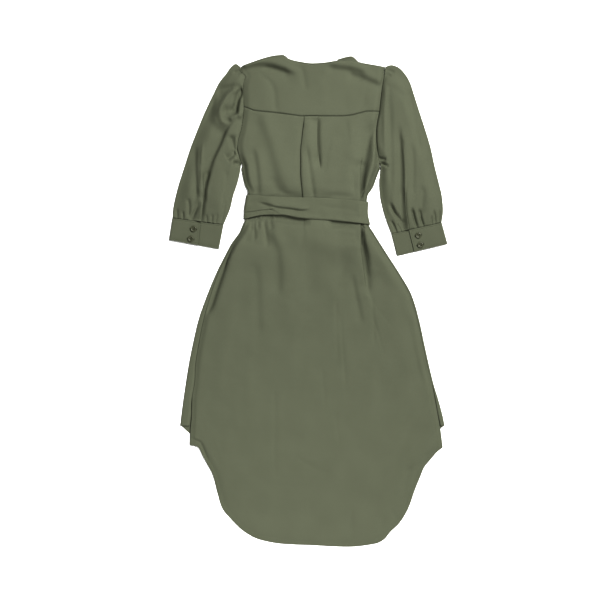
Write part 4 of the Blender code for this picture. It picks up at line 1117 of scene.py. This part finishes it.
def make_cuff(cuff, seed):
    """The strip of one cuff, from its hidden end to its buttoned one."""
    grid = []
    for share in CUFF_ROWS:
        outer = cuff.outer_top * (1 - share) + cuff.outer_bottom * share
        inner = cuff.inner_top * (1 - share) + cuff.inner_bottom * share
        lap = cuff.lap_top * (1 - share) + cuff.lap_bottom * share
        direction = unit(inner - outer)
        width = np.linalg.norm(inner - outer)
        pressed = -sum(depth * bell((share - at) / reach) for at, reach, depth in CUFF_PRESSES)

        def layer(at, level):
            spots = outer + (inner - outer) * at[:, None]
            return np.column_stack([spots, level + pressed + ripple(spots, *CUFF_RIPPLE, seed)])

        further = np.linspace(UNDER_START, UNDER_END - lap, CUFF_UNDER - len(UNDER_NEAR_EDGE))
        beside = np.concatenate([UNDER_NEAR_EDGE, further])
        dip = UNDER_DIP * smooth(beside / UNDER_DIP_START + 1) * (1 - smooth(beside / UNDER_DIP_REACH))
        under = layer(lap + beside, CUFF_MIDDLE - dip)
        inner_turn = roll(inner, -direction, CUFF_MIDDLE, CUFF_LOW, CUFF_TURN - 1, CUFF_CLOTH)
        beneath = outer + np.outer(np.linspace(BELOW_START, BELOW_END, CUFF_BELOW), inner - outer)
        below = np.column_stack([beneath, np.full(CUFF_BELOW, CUFF_LOW)])
        outer_turn = roll(outer, direction, CUFF_HIGH, CUFF_LOW, CUFF_TURN - 1, CUFF_CLOTH)[::-1]
        over = layer(np.linspace(OVER_START, lap - OVER_END / width, CUFF_OVER), CUFF_HIGH)
        stitched = layer(lap - STITCH_COLUMNS / width, CUFF_HIGH - STITCH_DIP)
        end = layer(lap - END_COLUMNS / width, CUFF_HIGH)
        grid.append(np.vstack([under, inner_turn, below, outer_turn, over, stitched, end]))
    return np.array(grid)


cuff_left_grid, cuff_right_grid = make_cuff(CUFF_LEFT, 31), make_cuff(CUFF_RIGHT, 32)
cuff_left = cloth("cuff_left_cloth", cuff_left_grid, CUFF_CLOTH)
cuff_right = cloth("cuff_right_cloth", cuff_right_grid, CUFF_CLOTH)

# %% [markdown]
# ## The sash
#
# The sash is a pressed tube of cloth, tied round the waist. Its back stretch has a twist and a fold on the
# left, where its upper layer ends over a strip of the lower one. One row of the grid follows that edge, so
# that it stays crisp. The sash lies on the highest places of the back beneath it.

# %% The sash
SASH_FOLD = points("-160 393, -144 392, -116 388, -95 386, -85 385, -60 386, 0 391, 155 404")
SASH_FOLD_LIFT = points("-160 1.6, -96 1.6, -82 1, -64 0.3, -40 0, 155 0")

# How far the sash's lower edge stands off the skirt, and how much its twist stands over the rest
SASH_LOOSE = points("""
    -160 0, -148 2, -120 2, -98 0.6, -78 3.4, -20 3.4, 14 0.5, 50 0.6, 70 3.4, 122 3.4, 142 1, 155 0
""")
SASH_TWIST = points("-160 0, -140 0.4, -100 2.2, -40 2.2, 10 0.4, 40 0, 155 0")
SASH_CREASES = crease_table("""
    0.4 3 2 8 14: -130 366, -103 373, -80 380, -45 384, -16 388, 10 384
    0.6 0 1 6 6: -114 360, -80 366, -50 373, -10 377
    -0.6 2.2 1.6 5 6: -98 384, -86 389, -76 395, -68 400
    1 0 1 3 3: -66 398, -50 402, 0 405, 92 414, 112 417
    -0.8 0 1 6 6: 20 372, 50 380, 100 386, 130 396
    0.5 0 1 9 9: 30 396, 70 400, 120 408
    -0.9 0.6 2 2.5 3: 144 360, 144.5 372, 145 395, 147 428
    -0.8 0 1 5 5: -150 372, -130 366, -110 356
""")
SASH_ROWS = np.concatenate([
    [0, 0.008, 0.02, 0.045], np.linspace(0.08, 0.6, 18), [0.63, 0.645, 0.655, 0.67],
    np.linspace(0.7, 0.92, 6), [0.955, 0.98, 0.992, 1],
])  # fmt: skip
SASH_COLUMNS, SASH_BELOW = 90, 42
SASH_SHELL = 0.9
BED_SAMPLES, BED_ABOVE, BED_BELOW = 200, 2, 1
SASH_REACH, SASH_SOFTNESS, SASH_CLEAR = 9, 10, 0.5
SASH_EDGE, SASH_EDGE_REACH = 0.8, 0.016
LOOSE_START, LOOSE_FADE = 0.7, 0.28
FOLD_START, FOLD_FADE = 0.638, 0.024
SASH_ROLL = 12
SASH_FOLD_ROW = 0.65
SASH_LEFT_CALM, SASH_RIGHT_CALM, SASH_EDGE_CALM = 0.03, 0.02, 0.05
SASH_RIPPLE = (0.2, 40, 41)


def sash_bed(places):
    """How high the back reaches near each place across, softened, with room for the sash above it."""
    top, bottom = (read_line(line, back_grid[..., 0]) for line in (SASH_TOP, SASH_BOTTOM))
    samples = back_grid[(back_grid[..., 1] > top - BED_ABOVE) & (back_grid[..., 1] < bottom + BED_BELOW)]
    fine = np.linspace(places.min(), places.max(), BED_SAMPLES)
    around = [samples[np.abs(samples[:, 0] - at) < SASH_REACH, 2] for at in fine]
    highest = np.array([heights.max(initial=BACK_LEVEL + LAYER) for heights in around])
    softened = np.array([highest[np.abs(fine - at) < SASH_SOFTNESS].mean() for at in fine])
    return np.interp(places, fine, softened) + SHELL + SASH_CLEAR


def make_sash():
    """One flattened loop round the waist."""
    share_across = np.concatenate([[0, 0.008], np.linspace(0.02, 0.98, 88), [0.992, 1]])
    grid = []
    for row_share in SASH_ROWS:
        left, right = along(SASH_LEFT, [row_share])[0], along(SASH_RIGHT, [row_share])[0]
        across = left[0] + (right[0] - left[0]) * share_across
        top, bottom = read_line(SASH_TOP, across), read_line(SASH_BOTTOM, across)
        fold = (read_line(SASH_FOLD, across) - top) / (bottom - top)
        share = np.where(
            row_share < SASH_FOLD_ROW,
            fold * row_share / SASH_FOLD_ROW,
            fold + (1 - fold) * (row_share - SASH_FOLD_ROW) / (1 - SASH_FOLD_ROW),
        )
        down = top + (bottom - top) * share
        spots = np.stack([across, down], axis=-1)
        lift = read_line(SASH_FOLD_LIFT, across) * float(1 - smooth((row_share - FOLD_START) / FOLD_FADE))
        edge = min(row_share, 1 - row_share)
        rounded = -SASH_EDGE * bell(edge / SASH_EDGE_REACH)
        calm = smooth(share_across / SASH_LEFT_CALM) * smooth((1 - share_across) / SASH_RIGHT_CALM)
        loose = read_line(SASH_LOOSE, across) * float(smooth((row_share - LOOSE_START) / LOOSE_FADE))
        heights = sash_bed(across) + lift + rounded + loose + read_line(SASH_TWIST, across)
        folds = creased(SASH_CREASES, spots) + ripple(spots, *SASH_RIPPLE)
        heights += folds * calm * float(smooth(edge / SASH_EDGE_CALM))
        left_roll = roll(spots[0], np.array([1.0, 0.0]), heights[0], FLOOR_LEVEL, SASH_ROLL)
        right_roll = roll(spots[-1], np.array([-1.0, 0.0]), heights[-1], FLOOR_LEVEL, SASH_ROLL)
        above = np.column_stack([spots, heights])
        keep = (across > left_roll[0, 0] + 1) & (across < right_roll[0, 0] - 1)
        even, kept = np.linspace(0, 1, SASH_COLUMNS), np.linspace(0, 1, keep.sum())
        above = np.column_stack([np.interp(even, kept, above[keep, axis]) for axis in range(3)])
        under = np.linspace(1, 0, SASH_BELOW + 2)[1:-1, None]
        below = np.column_stack([spots[0] + (spots[-1] - spots[0]) * under, np.full(SASH_BELOW, FLOOR_LEVEL)])
        grid.append(np.vstack([above, right_roll, below, left_roll[::-1]]))
    return np.array(grid)


sash_grid = make_sash()
sash = cloth("sash_cloth", sash_grid, SASH_SHELL, looped=True)

# %% [markdown]
# ## A helper for node trees
#
# Shader trees and Geometry Nodes trees are built the same way, so one small function serves both: it adds a
# node, sets its settings and gives each named input a value or a link. Every material ends alike, with two
# tones that a pattern mixes, its surface and its output, so they share one ending.


# %% Node helper and colours
def node(tree, kind, inputs=None, **settings):
    """Add a node; an input is a value, a socket to link from, or a node whose first output is linked."""
    made = tree.nodes.new(kind)
    for name, value in settings.items():
        setattr(made, name, value)
    for socket, value in (inputs or {}).items():
        if isinstance(value, bpy.types.Node):
            value = value.outputs[0]
        if isinstance(value, bpy.types.NodeSocket):
            tree.links.new(value, made.inputs[socket])
        else:
            made.inputs[socket].default_value = value
    return made


def linear(hex_colour):
    """An sRGB hex colour as linear values."""
    values = [int(hex_colour[at : at + 2], 16) / 255 for at in (1, 3, 5)]
    values = [value / 12.92 if value <= 0.04045 else ((value + 0.055) / 1.055) ** 2.4 for value in values]
    return (*values, 1.0)


def blank_material(name, coordinates):
    """An empty material, its tree and its texture coordinates of one kind."""
    made = bpy.data.materials.new(name)
    made.use_nodes = True
    made.node_tree.nodes.clear()
    return made, made.node_tree, node(made.node_tree, "ShaderNodeTexCoord").outputs[coordinates]


def finished(tree, pattern, tones, finish, positions=(0.0, 1.0)):
    """A material's end: the two tones that its pattern mixes, its surface and its output."""
    colour = node(tree, "ShaderNodeValToRGB", {"Fac": pattern})
    for stop, position, tone in zip(colour.color_ramp.elements, positions, tones):
        stop.position = position
        stop.color = linear(tone)
    shader = node(tree, "ShaderNodeBsdfPrincipled", {"Base Color": colour, **finish})
    node(tree, "ShaderNodeOutputMaterial", {"Surface": shader})


# %% [markdown]
# ## Polyester crepe
#
# The cloth is a matt polyester crepe: its yarns are twisted hard, which pebbles the surface and scatters
# light evenly. A weave of 0.35 mm yarns is far finer than the render shows, so the pebble is drawn at 1.4
# mm. Broad, faint clouds of colour keep large areas from looking painted. The doubled pieces are pressed
# and a shade deeper.


# %% Crepe
GRAIN = 1.4
YARN_SHARE = 1.6
CLOUD = 55
PEBBLE_DEPTH = 0.00035

# Turns the UV map's metres into millimetres, with the pebble a little longer along the cloth
STRETCH = (1000, 780, 1000)


def crepe(name, shade, light, bump):
    """Matt pebbled cloth between two close colours."""
    made, tree, place = blank_material(name, "UV")
    millimetres = node(tree, "ShaderNodeMapping", {"Vector": place, "Scale": STRETCH})
    pebbles = {"Vector": millimetres, "Scale": 1 / GRAIN, "Detail": 3.0, "Roughness": 0.62}
    pebble = node(tree, "ShaderNodeTexNoise", pebbles)
    yarns = {"Vector": millimetres, "Scale": YARN_SHARE / GRAIN, "Randomness": 0.9}
    yarn = node(tree, "ShaderNodeTexVoronoi", yarns)
    cloud = node(tree, "ShaderNodeTexNoise", {"Vector": millimetres, "Scale": 1 / CLOUD, "Detail": 2.0})
    grains = node(tree, "ShaderNodeMath", {0: pebble, 1: 0.8}, operation="MULTIPLY")
    mixed = node(tree, "ShaderNodeMath", {0: cloud, 1: 0.2, 2: grains}, operation="MULTIPLY_ADD")
    relief = node(tree, "ShaderNodeMath", {0: yarn, 1: 0.4, 2: pebble}, operation="MULTIPLY_ADD")
    bumped = node(tree, "ShaderNodeBump", {"Height": relief, "Strength": bump, "Distance": PEBBLE_DEPTH})
    rough = node(tree, "ShaderNodeMapRange", {"Value": pebble, "To Min": 0.78, "To Max": 0.92})
    finish = {"Roughness": rough, "Normal": bumped, "IOR": 1.46, "Specular IOR Level": 0.2}
    finish.update({"Sheen Weight": 0.02, "Sheen Roughness": 0.45})
    finished(tree, mixed, (shade, light), finish, (0.32, 0.68))
    return made


single_crepe = crepe("polyester_crepe_single", "#65685A", "#6D7062", 0.55)
double_crepe = crepe("polyester_crepe_double", "#646759", "#6C6F61", 0.45)
for piece in (back, yoke, front_over, front_under, sleeve_left, sleeve_right):
    piece.data.materials.append(single_crepe)
for piece in (cuff_left, cuff_right, sash):
    piece.data.materials.append(double_crepe)
print("materials:", single_crepe.name, double_crepe.name)

# %% [markdown]
# ## Sewing thread
#
# Topstitches run along the cuffs, the slits and the hem. Each is a short arc of thread that dips into the
# cloth at both ends. Modelling every one by hand is hopeless, so a Geometry Nodes tree resamples the seam
# line at the stitch pitch and sets one arc on each point, turned along the line, with a seeded wander.


# %% Thread
# A change of tone for each 1.1 mm of thread, coarser than its twist so that it shows
TWISTS_PER_METRE = 900.0


def spun_thread(name, shade, light):
    """Spun polyester thread: matt, with its twist too fine to show except as a slight mottle."""
    made, tree, place = blank_material(name, "Object")
    twist = node(tree, "ShaderNodeTexNoise", {"Vector": place, "Scale": TWISTS_PER_METRE})
    finished(tree, twist, (shade, light), {"Roughness": 0.7, "IOR": 1.5, "Sheen Weight": 0.2})
    return made


thread = spun_thread("spun_polyester_thread", "#5A5E4A", "#676B56")
dark_thread = spun_thread("spun_polyester_thread_dark", "#3F4333", "#4D513F")


# %% The stitch tree
def stitch_tree():
    """Arcs of thread along a curve, one for each stitch."""
    tree = bpy.data.node_groups.new("stitches", "GeometryNodeTree")
    tree.interface.new_socket("Geometry", in_out="INPUT", socket_type="NodeSocketGeometry")
    sizes = {"Pitch": 0.0028, "Stitch": 0.0021, "Thread": 0.0005, "Wander": 0.06, "Turn": 0.0}
    for name, value in sizes.items():
        tree.interface.new_socket(name, in_out="INPUT", socket_type="NodeSocketFloat").default_value = value
    tree.interface.new_socket("Seed", in_out="INPUT", socket_type="NodeSocketInt")
    tree.interface.new_socket("Material", in_out="INPUT", socket_type="NodeSocketMaterial")
    tree.interface.new_socket("Geometry", in_out="OUTPUT", socket_type="NodeSocketGeometry")
    given = node(tree, "NodeGroupInput").outputs
    spaced = node(tree, "GeometryNodeResampleCurve", {"Curve": given["Geometry"]}, mode="LENGTH")
    tree.links.new(given["Pitch"], spaced.inputs["Length"])
    tangent = node(tree, "GeometryNodeInputTangent")
    axes = {"Primary Axis": (0, 0, 1), "Secondary Axis": tangent}
    facing = node(tree, "FunctionNodeAxesToRotation", axes, primary_axis="Z", secondary_axis="X")
    half = node(tree, "ShaderNodeMath", {0: given["Stitch"], 1: 0.5}, operation="MULTIPLY")
    back_half = node(tree, "ShaderNodeMath", {0: half, 1: -1.0}, operation="MULTIPLY")
    rise = node(tree, "ShaderNodeMath", {0: given["Thread"], 1: 0.9}, operation="MULTIPLY")
    start, middle, end = (
        node(tree, "ShaderNodeCombineXYZ", {axis: reach})
        for axis, reach in (("X", back_half), ("Z", rise), ("X", half))
    )
    bend = {"Resolution": 4, "Start": start, "Middle": middle, "End": end}
    arc = node(tree, "GeometryNodeCurveQuadraticBezier", bend)
    radius = node(tree, "ShaderNodeMath", {0: given["Thread"], 1: 0.5}, operation="MULTIPLY")
    profile = node(tree, "GeometryNodeCurvePrimitiveCircle", {"Resolution": 5, "Radius": radius})
    tube = {"Curve": arc, "Profile Curve": profile, "Fill Caps": True}
    strand = node(tree, "GeometryNodeCurveToMesh", tube)
    laid = {"Points": spaced, "Instance": strand, "Rotation": facing}
    placed = node(tree, "GeometryNodeInstanceOnPoints", laid)
    away = node(tree, "ShaderNodeMath", {0: given["Wander"], 1: -1.0}, operation="MULTIPLY")
    wander = {"Min": away, "Max": given["Wander"], "Seed": given["Seed"]}
    chance = node(tree, "FunctionNodeRandomValue", wander, data_type="FLOAT")
    angle = node(tree, "ShaderNodeMath", {0: chance.outputs["Value"], 1: given["Turn"]}, operation="ADD")
    spin = node(tree, "ShaderNodeCombineXYZ", {"Z": angle})
    turned = node(tree, "GeometryNodeRotateInstances", {"Instances": placed, "Rotation": spin})
    real = node(tree, "GeometryNodeRealizeInstances", {"Geometry": turned})
    painted = node(tree, "GeometryNodeSetMaterial", {"Geometry": real, "Material": given["Material"]})
    node(tree, "NodeGroupOutput", {"Geometry": painted})
    return tree


STITCHES = stitch_tree()


def traced(name, lines):
    """A curve object along lines of laid-out points."""
    curve = bpy.data.curves.new(name + "_line", "CURVE")
    curve.dimensions = "3D"
    for line in lines:
        spline = curve.splines.new("POLY")
        spline.points.add(len(line) - 1)
        for point, spot in zip(spline.points, place(line)):
            point.co = (*spot, 1.0)
    return added(name + "_line", curve)


def settled(name, source):
    """A plain mesh of what an object evaluates to, in the object's place."""
    mesh = bpy.data.meshes.new_from_object(source.evaluated_get(bpy.context.evaluated_depsgraph_get()))
    bpy.data.objects.remove(source)
    made = added(name, mesh)
    mesh.shade_smooth()
    print(f"{name}: {len(mesh.polygons)} faces")
    return made


def sewn(name, lines, material, seed, **sizes):
    """Stitches along lines of laid-out points."""
    guide = traced(name, lines)
    modifier = guide.modifiers.new("stitches", "NODES")
    modifier.node_group = STITCHES
    values = {**sizes, "Seed": seed, "Material": material}
    for item in STITCHES.interface.items_tree:
        if item.in_out == "INPUT" and item.name in values:
            modifier[item.identifier] = values[item.name]
    return settled(name, guide)


def raised(line, by):
    """A line of a grid, moved up from the cloth's middle to its surface."""
    return np.asarray(line, float) + np.array([0, 0, by])


# %% Topstitch the hem, the slits and the cuffs
HEM_STITCH_ROW = len(back_grid) - len(HEM_BAND) + HEM_BAND.index(HEM_STITCH)
SLIT_STITCH_COLUMN = EDGE_BAND.index(HEM_STITCH)
CUFF_STITCH_COLUMN = -len(END_COLUMNS) - 2
slit_rows = slice(len(down_rows) - 1, HEM_STITCH_ROW + 1)
hem_lines = [
    raised(back_grid[HEM_STITCH_ROW, SLIT_STITCH_COLUMN:-SLIT_STITCH_COLUMN], SHELL / 2),
    raised(back_grid[slit_rows, SLIT_STITCH_COLUMN], SHELL / 2),
    raised(back_grid[slit_rows, -1 - SLIT_STITCH_COLUMN], SHELL / 2),
]
hem_stitches = sewn("hem_stitches", hem_lines, thread, 3, Pitch=0.0029, Stitch=0.0021, Thread=0.00042)
cuff_lines = []
for grid in (cuff_left_grid, cuff_right_grid):
    surface_grid = raised(grid, CUFF_CLOTH / 2)
    cuff_lines += [surface_grid[row, CUFF_TOP_START:CUFF_STITCH_COLUMN] for row in TOPSTITCH_ROWS]
    cuff_lines += [surface_grid[row, 1 : CUFF_UNDER - 2] for row in TOPSTITCH_ROWS]
    cuff_lines.append(surface_grid[TOPSTITCH_ROWS[0] : TOPSTITCH_ROWS[1] + 1, CUFF_STITCH_COLUMN])
cuff_stitches = sewn("cuff_stitches", cuff_lines, thread, 4, Pitch=0.0028, Stitch=0.0021, Thread=0.00045)

# %% [markdown]
# ## Buttons
#
# The buttons are turned polyester resin, dyed to the cloth: a rim, a dished middle and four holes, sewn on
# with thread that crosses. A lathe profile is the natural way to a turned shape, and the Boolean modifier
# bores the holes. One button is made, and its mesh is copied to the four places.

# %% Button shape
BUTTON_DIAMETER = 15.0
BUTTON_THICKNESS = 2.6
CUFF_WALL, PIECE_GAP = 1.6, 0.3
BUTTON_BOTTOM = CUFF_HIGH + CUFF_WALL / 2 + PIECE_GAP
HOLE_SPACING = 3.3
HOLE_RADIUS = 0.9
DRILL_LENGTH = 8.0
BUTTON_PROFILE = points("""
    0 0.5, 0.3 0.5, 0.5 0.52, 0.58 0.6, 0.64 0.84, 0.7 0.96, 0.78 1, 0.88 0.97, 0.95 0.86, 0.99 0.7,
    1 0.55, 0.97 0.36, 0.88 0.18, 0.7 0.05, 0.4 0, 0 0
""")


def turned_button():
    """A lathe-turned button with its four holes bored."""
    profile = bpy.data.meshes.new("button_profile")
    turned = [(r * BUTTON_DIAMETER / 2 * MM, 0, h * BUTTON_THICKNESS * MM) for r, h in BUTTON_PROFILE]
    profile.from_pydata(turned, [(at, at + 1) for at in range(len(turned) - 1)], [])
    made = added("button_blank", profile)
    lathe = made.modifiers.new("lathe", "SCREW")
    lathe.steps = lathe.render_steps = 40
    lathe.use_merge_vertices = True
    lathe.merge_threshold = 1e-5
    drills = []
    for number in range(4):
        angle = math.radians(45 + 90 * number)
        reach = HOLE_SPACING / math.sqrt(2) * MM
        bpy.ops.mesh.primitive_cylinder_add(
            vertices=14,
            radius=HOLE_RADIUS * MM,
            depth=DRILL_LENGTH * MM,
            location=(reach * math.cos(angle), reach * math.sin(angle), 0),
        )
        drills.append(bpy.context.active_object)
        bore = made.modifiers.new("bore", "BOOLEAN")
        bore.object = drills[-1]
    mesh = bpy.data.meshes.new_from_object(made.evaluated_get(bpy.context.evaluated_depsgraph_get()))
    for thing in [*drills, made]:
        bpy.data.objects.remove(thing)
    return mesh


button_mesh = turned_button()
print("button:", len(button_mesh.polygons), "faces")


# %% Button resin
# A streak of dye for each 2.4 mm of the button
STREAKS_PER_METRE = 420.0


def dyed_resin():
    """Cast polyester resin: satin, with faint streaks of its dye."""
    made, tree, place = blank_material("dyed_button_resin", "Object")
    dye = {"Vector": place, "Scale": STREAKS_PER_METRE, "Detail": 3.0, "Distortion": 0.8}
    streak = node(tree, "ShaderNodeTexNoise", dye)
    rough = node(tree, "ShaderNodeMapRange", {"Value": streak, "To Min": 0.32, "To Max": 0.46})
    finish = {"Roughness": rough, "IOR": 1.54, "Coat Weight": 0.1}
    finished(tree, streak, ("#4A4C3A", "#5F6150"), finish)
    return made


resin = dyed_resin()

# %% Buttons, their thread and their buttonholes
BUTTONHOLE_LENGTH = 18.5
BUTTONHOLE_HALF_WIDTH = 1.1
BUTTONHOLE_LEVEL = CUFF_HIGH + CUFF_CLOTH / 2 + 0.1
KNOT_LEVEL, KNOT_RISE = BUTTON_BOTTOM + 0.45 * BUTTON_THICKNESS, 0.5
KNOT_SPOTS = np.linspace(-1, 1, 7)
SECOND_THREAD = np.array([0.25, 0.2, 0.05])
buttons, knots, holes = [], [], []
for side, cuff in (("left", CUFF_LEFT), ("right", CUFF_RIGHT)):
    direction = unit(cuff.inner_top - cuff.outer_top)
    direction = direction if direction[0] > 0 else -direction
    across_cuff = np.array([-direction[1], direction[0]])
    for number, middle in enumerate(cuff.buttons):
        mesh = button_mesh.copy()
        turn = Matrix.Rotation(math.atan2(-direction[1], direction[0]), 4, "Z")
        mesh.transform(Matrix.Translation(Vector(place((*middle, BUTTON_BOTTOM)))) @ turn)
        button = added(f"button_{side}_{number + 1}_turned", mesh)
        mesh.materials.clear()
        mesh.materials.append(resin)
        mesh.shade_smooth()
        buttons.append((button, f"button_{side}_{number + 1}"))
        for sign in (-1, 1):
            half = (direction + sign * across_cuff) * HOLE_SPACING / 2
            rise = KNOT_LEVEL + KNOT_RISE * (1 - KNOT_SPOTS * KNOT_SPOTS)
            arc = np.column_stack([middle + np.outer(KNOT_SPOTS, half), rise])
            knots += [arc, arc + SECOND_THREAD]
        for beside in (-BUTTONHOLE_HALF_WIDTH, BUTTONHOLE_HALF_WIDTH):
            ends = [middle + direction * s * BUTTONHOLE_LENGTH / 2 + across_cuff * beside for s in (-1, 1)]
            holes.append([(*end, BUTTONHOLE_LEVEL) for end in ends])


def strands(name, lines, thickness, material):
    """Thin round threads along lines of laid-out points."""
    source = traced(name, lines)
    source.data.bevel_depth = thickness / 2 * MM
    source.data.bevel_resolution = 2
    source.data.use_fill_caps = True
    made = settled(name, source)
    made.data.materials.clear()
    made.data.materials.append(material)
    return made


button_thread = strands("button_thread", knots, 0.5, dark_thread)
buttonholes = sewn(
    "buttonholes", holes, dark_thread, 5, Pitch=0.0007, Stitch=0.0019, Thread=0.0005, Turn=math.pi / 2
)

# %% Ride on the root and replace the CAD parts
SINGLE, DOUBLE = "olive_crepe", "olive_crepe_double"
FRONTS = ["front_under_cloth", "front_over_cloth"]
SHEETS = [
    (back, "back_panel", SINGLE, (0.70, 1.12), 0.62, FRONTS),
    (yoke, "back_yoke", SINGLE, (0.38, 0.17), None, FRONTS),
    (front_over, "front_over", SINGLE, (0.50, 1.03), 0.33, ["sash_cloth"]),
    (front_under, "front_under", SINGLE, (0.50, 1.03), 0.33, ["front_over_cloth"]),
    (sleeve_left, "sleeve_left", SINGLE, (0.40, 0.42), 0.115, ["back_cloth"]),
    (sleeve_right, "sleeve_right", SINGLE, (0.40, 0.42), 0.115, ["back_cloth"]),
    (cuff_left, "cuff_left", DOUBLE, (0.30, 0.06), None, ["sleeve_left_cloth"]),
    (cuff_right, "cuff_right", DOUBLE, (0.30, 0.06), None, ["sleeve_right_cloth"]),
    (sash, "sash", DOUBLE, (0.64, 0.06), None, ["back_cloth"]),
]
for piece, cad_node, slot, flat, area, rests_on in SHEETS:
    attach(piece, "root")
    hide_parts(cad_node)
for button, cad_node in buttons:
    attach(button, "root")
    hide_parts(cad_node)
for piece in (hem_stitches, cuff_stitches, button_thread, buttonholes):
    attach(piece, "root")

# %% [markdown]
# ## Floor, light and camera
#
# Garments for a shop are laid on a white table and shot from straight above. A broad sun comes low from the
# neck's right side, so that creases show by their shaded left and lower sides. Two softboxes even it out at
# the neck and at the hem, and a soft spot lifts the bodice. A strong tone curve, here a gamma, deepens the
# shades. It also brings back colour, so the cloth's own colours are less saturated than the photo's.

# %% Floor
FLOOR_SIZE = 60
CLOUDS_PER_METRE = 3.0
bpy.ops.mesh.primitive_plane_add(size=FLOOR_SIZE, location=(0, 0, 0))
floor = bpy.context.active_object
floor.name = "table_top"

# Pressed laminate is white and matt, with clouds so faint that it only keeps from looking painted
board, tree, where = blank_material("white_laminate", "Object")
clouded = node(tree, "ShaderNodeTexNoise", {"Vector": where, "Scale": CLOUDS_PER_METRE})
finished(tree, clouded, ("#F3F3F3", "#F6F6F6"), {"Roughness": 0.9, "Specular IOR Level": 0.1})
floor.data.materials.append(board)

# %% Light
AMBIENT = 0.42
EXPOSURE, GAMMA = -0.1, 0.58
SOFTBOX = {"size": 0.8}
SPOT = {"spot_size": math.radians(23), "spot_blend": 1.0, "shadow_soft_size": 0.12}
LAMPS = [
    ("window", "SUN", 4.1, {"angle": math.radians(20)}, (0.43, 0.39, 0.8), (0, 0, 0)),
    ("neck_softbox", "AREA", 13.4, SOFTBOX, (0.5, 1.0, 1.2), (0, 0.3, 0)),
    ("hem_softbox", "AREA", 12.5, SOFTBOX, (0, -0.85, 1.2), (0, -0.85, 0)),
    ("bodice_spot", "SPOT", 19, SPOT, (0.03, 0.36, 1.5), (0.01, 0.38, 0)),
]
for name, kind, energy, settings, spot, target in LAMPS:
    data = bpy.data.lights.new(name, kind)
    data.energy = energy
    for setting, value in settings.items():
        setattr(data, setting, value)
    lamp = added(name, data)
    lamp.location = spot
    lamp.rotation_euler = (Vector(target) - Vector(spot)).to_track_quat("-Z", "Y").to_euler()
    lamp.visible_camera = False
sky = bpy.data.worlds.new("studio")
sky.use_nodes = True
sky.node_tree.nodes["Background"].inputs["Color"].default_value = (1, 1, 1, 1)
sky.node_tree.nodes["Background"].inputs["Strength"].default_value = AMBIENT
bpy.context.scene.world = sky
view = bpy.context.scene.view_settings
view.view_transform = "Standard"
view.exposure = EXPOSURE
view.gamma = GAMMA

# %% Camera
CAMERA_SPOT = (-0.00575, -0.01265)
FRAME_WIDTH = 1.53
CAMERA_HEIGHT = 3.0
CLOTH_HEIGHT = 0.004
SENSOR_WIDTH = 36.0
lens = bpy.data.cameras.new("overhead")
lens.sensor_width = SENSOR_WIDTH
lens.lens = SENSOR_WIDTH * (CAMERA_HEIGHT - CLOTH_HEIGHT) / FRAME_WIDTH
camera = added("overhead", lens)
camera.location = (*CAMERA_SPOT, CAMERA_HEIGHT)
bpy.context.scene.camera = camera
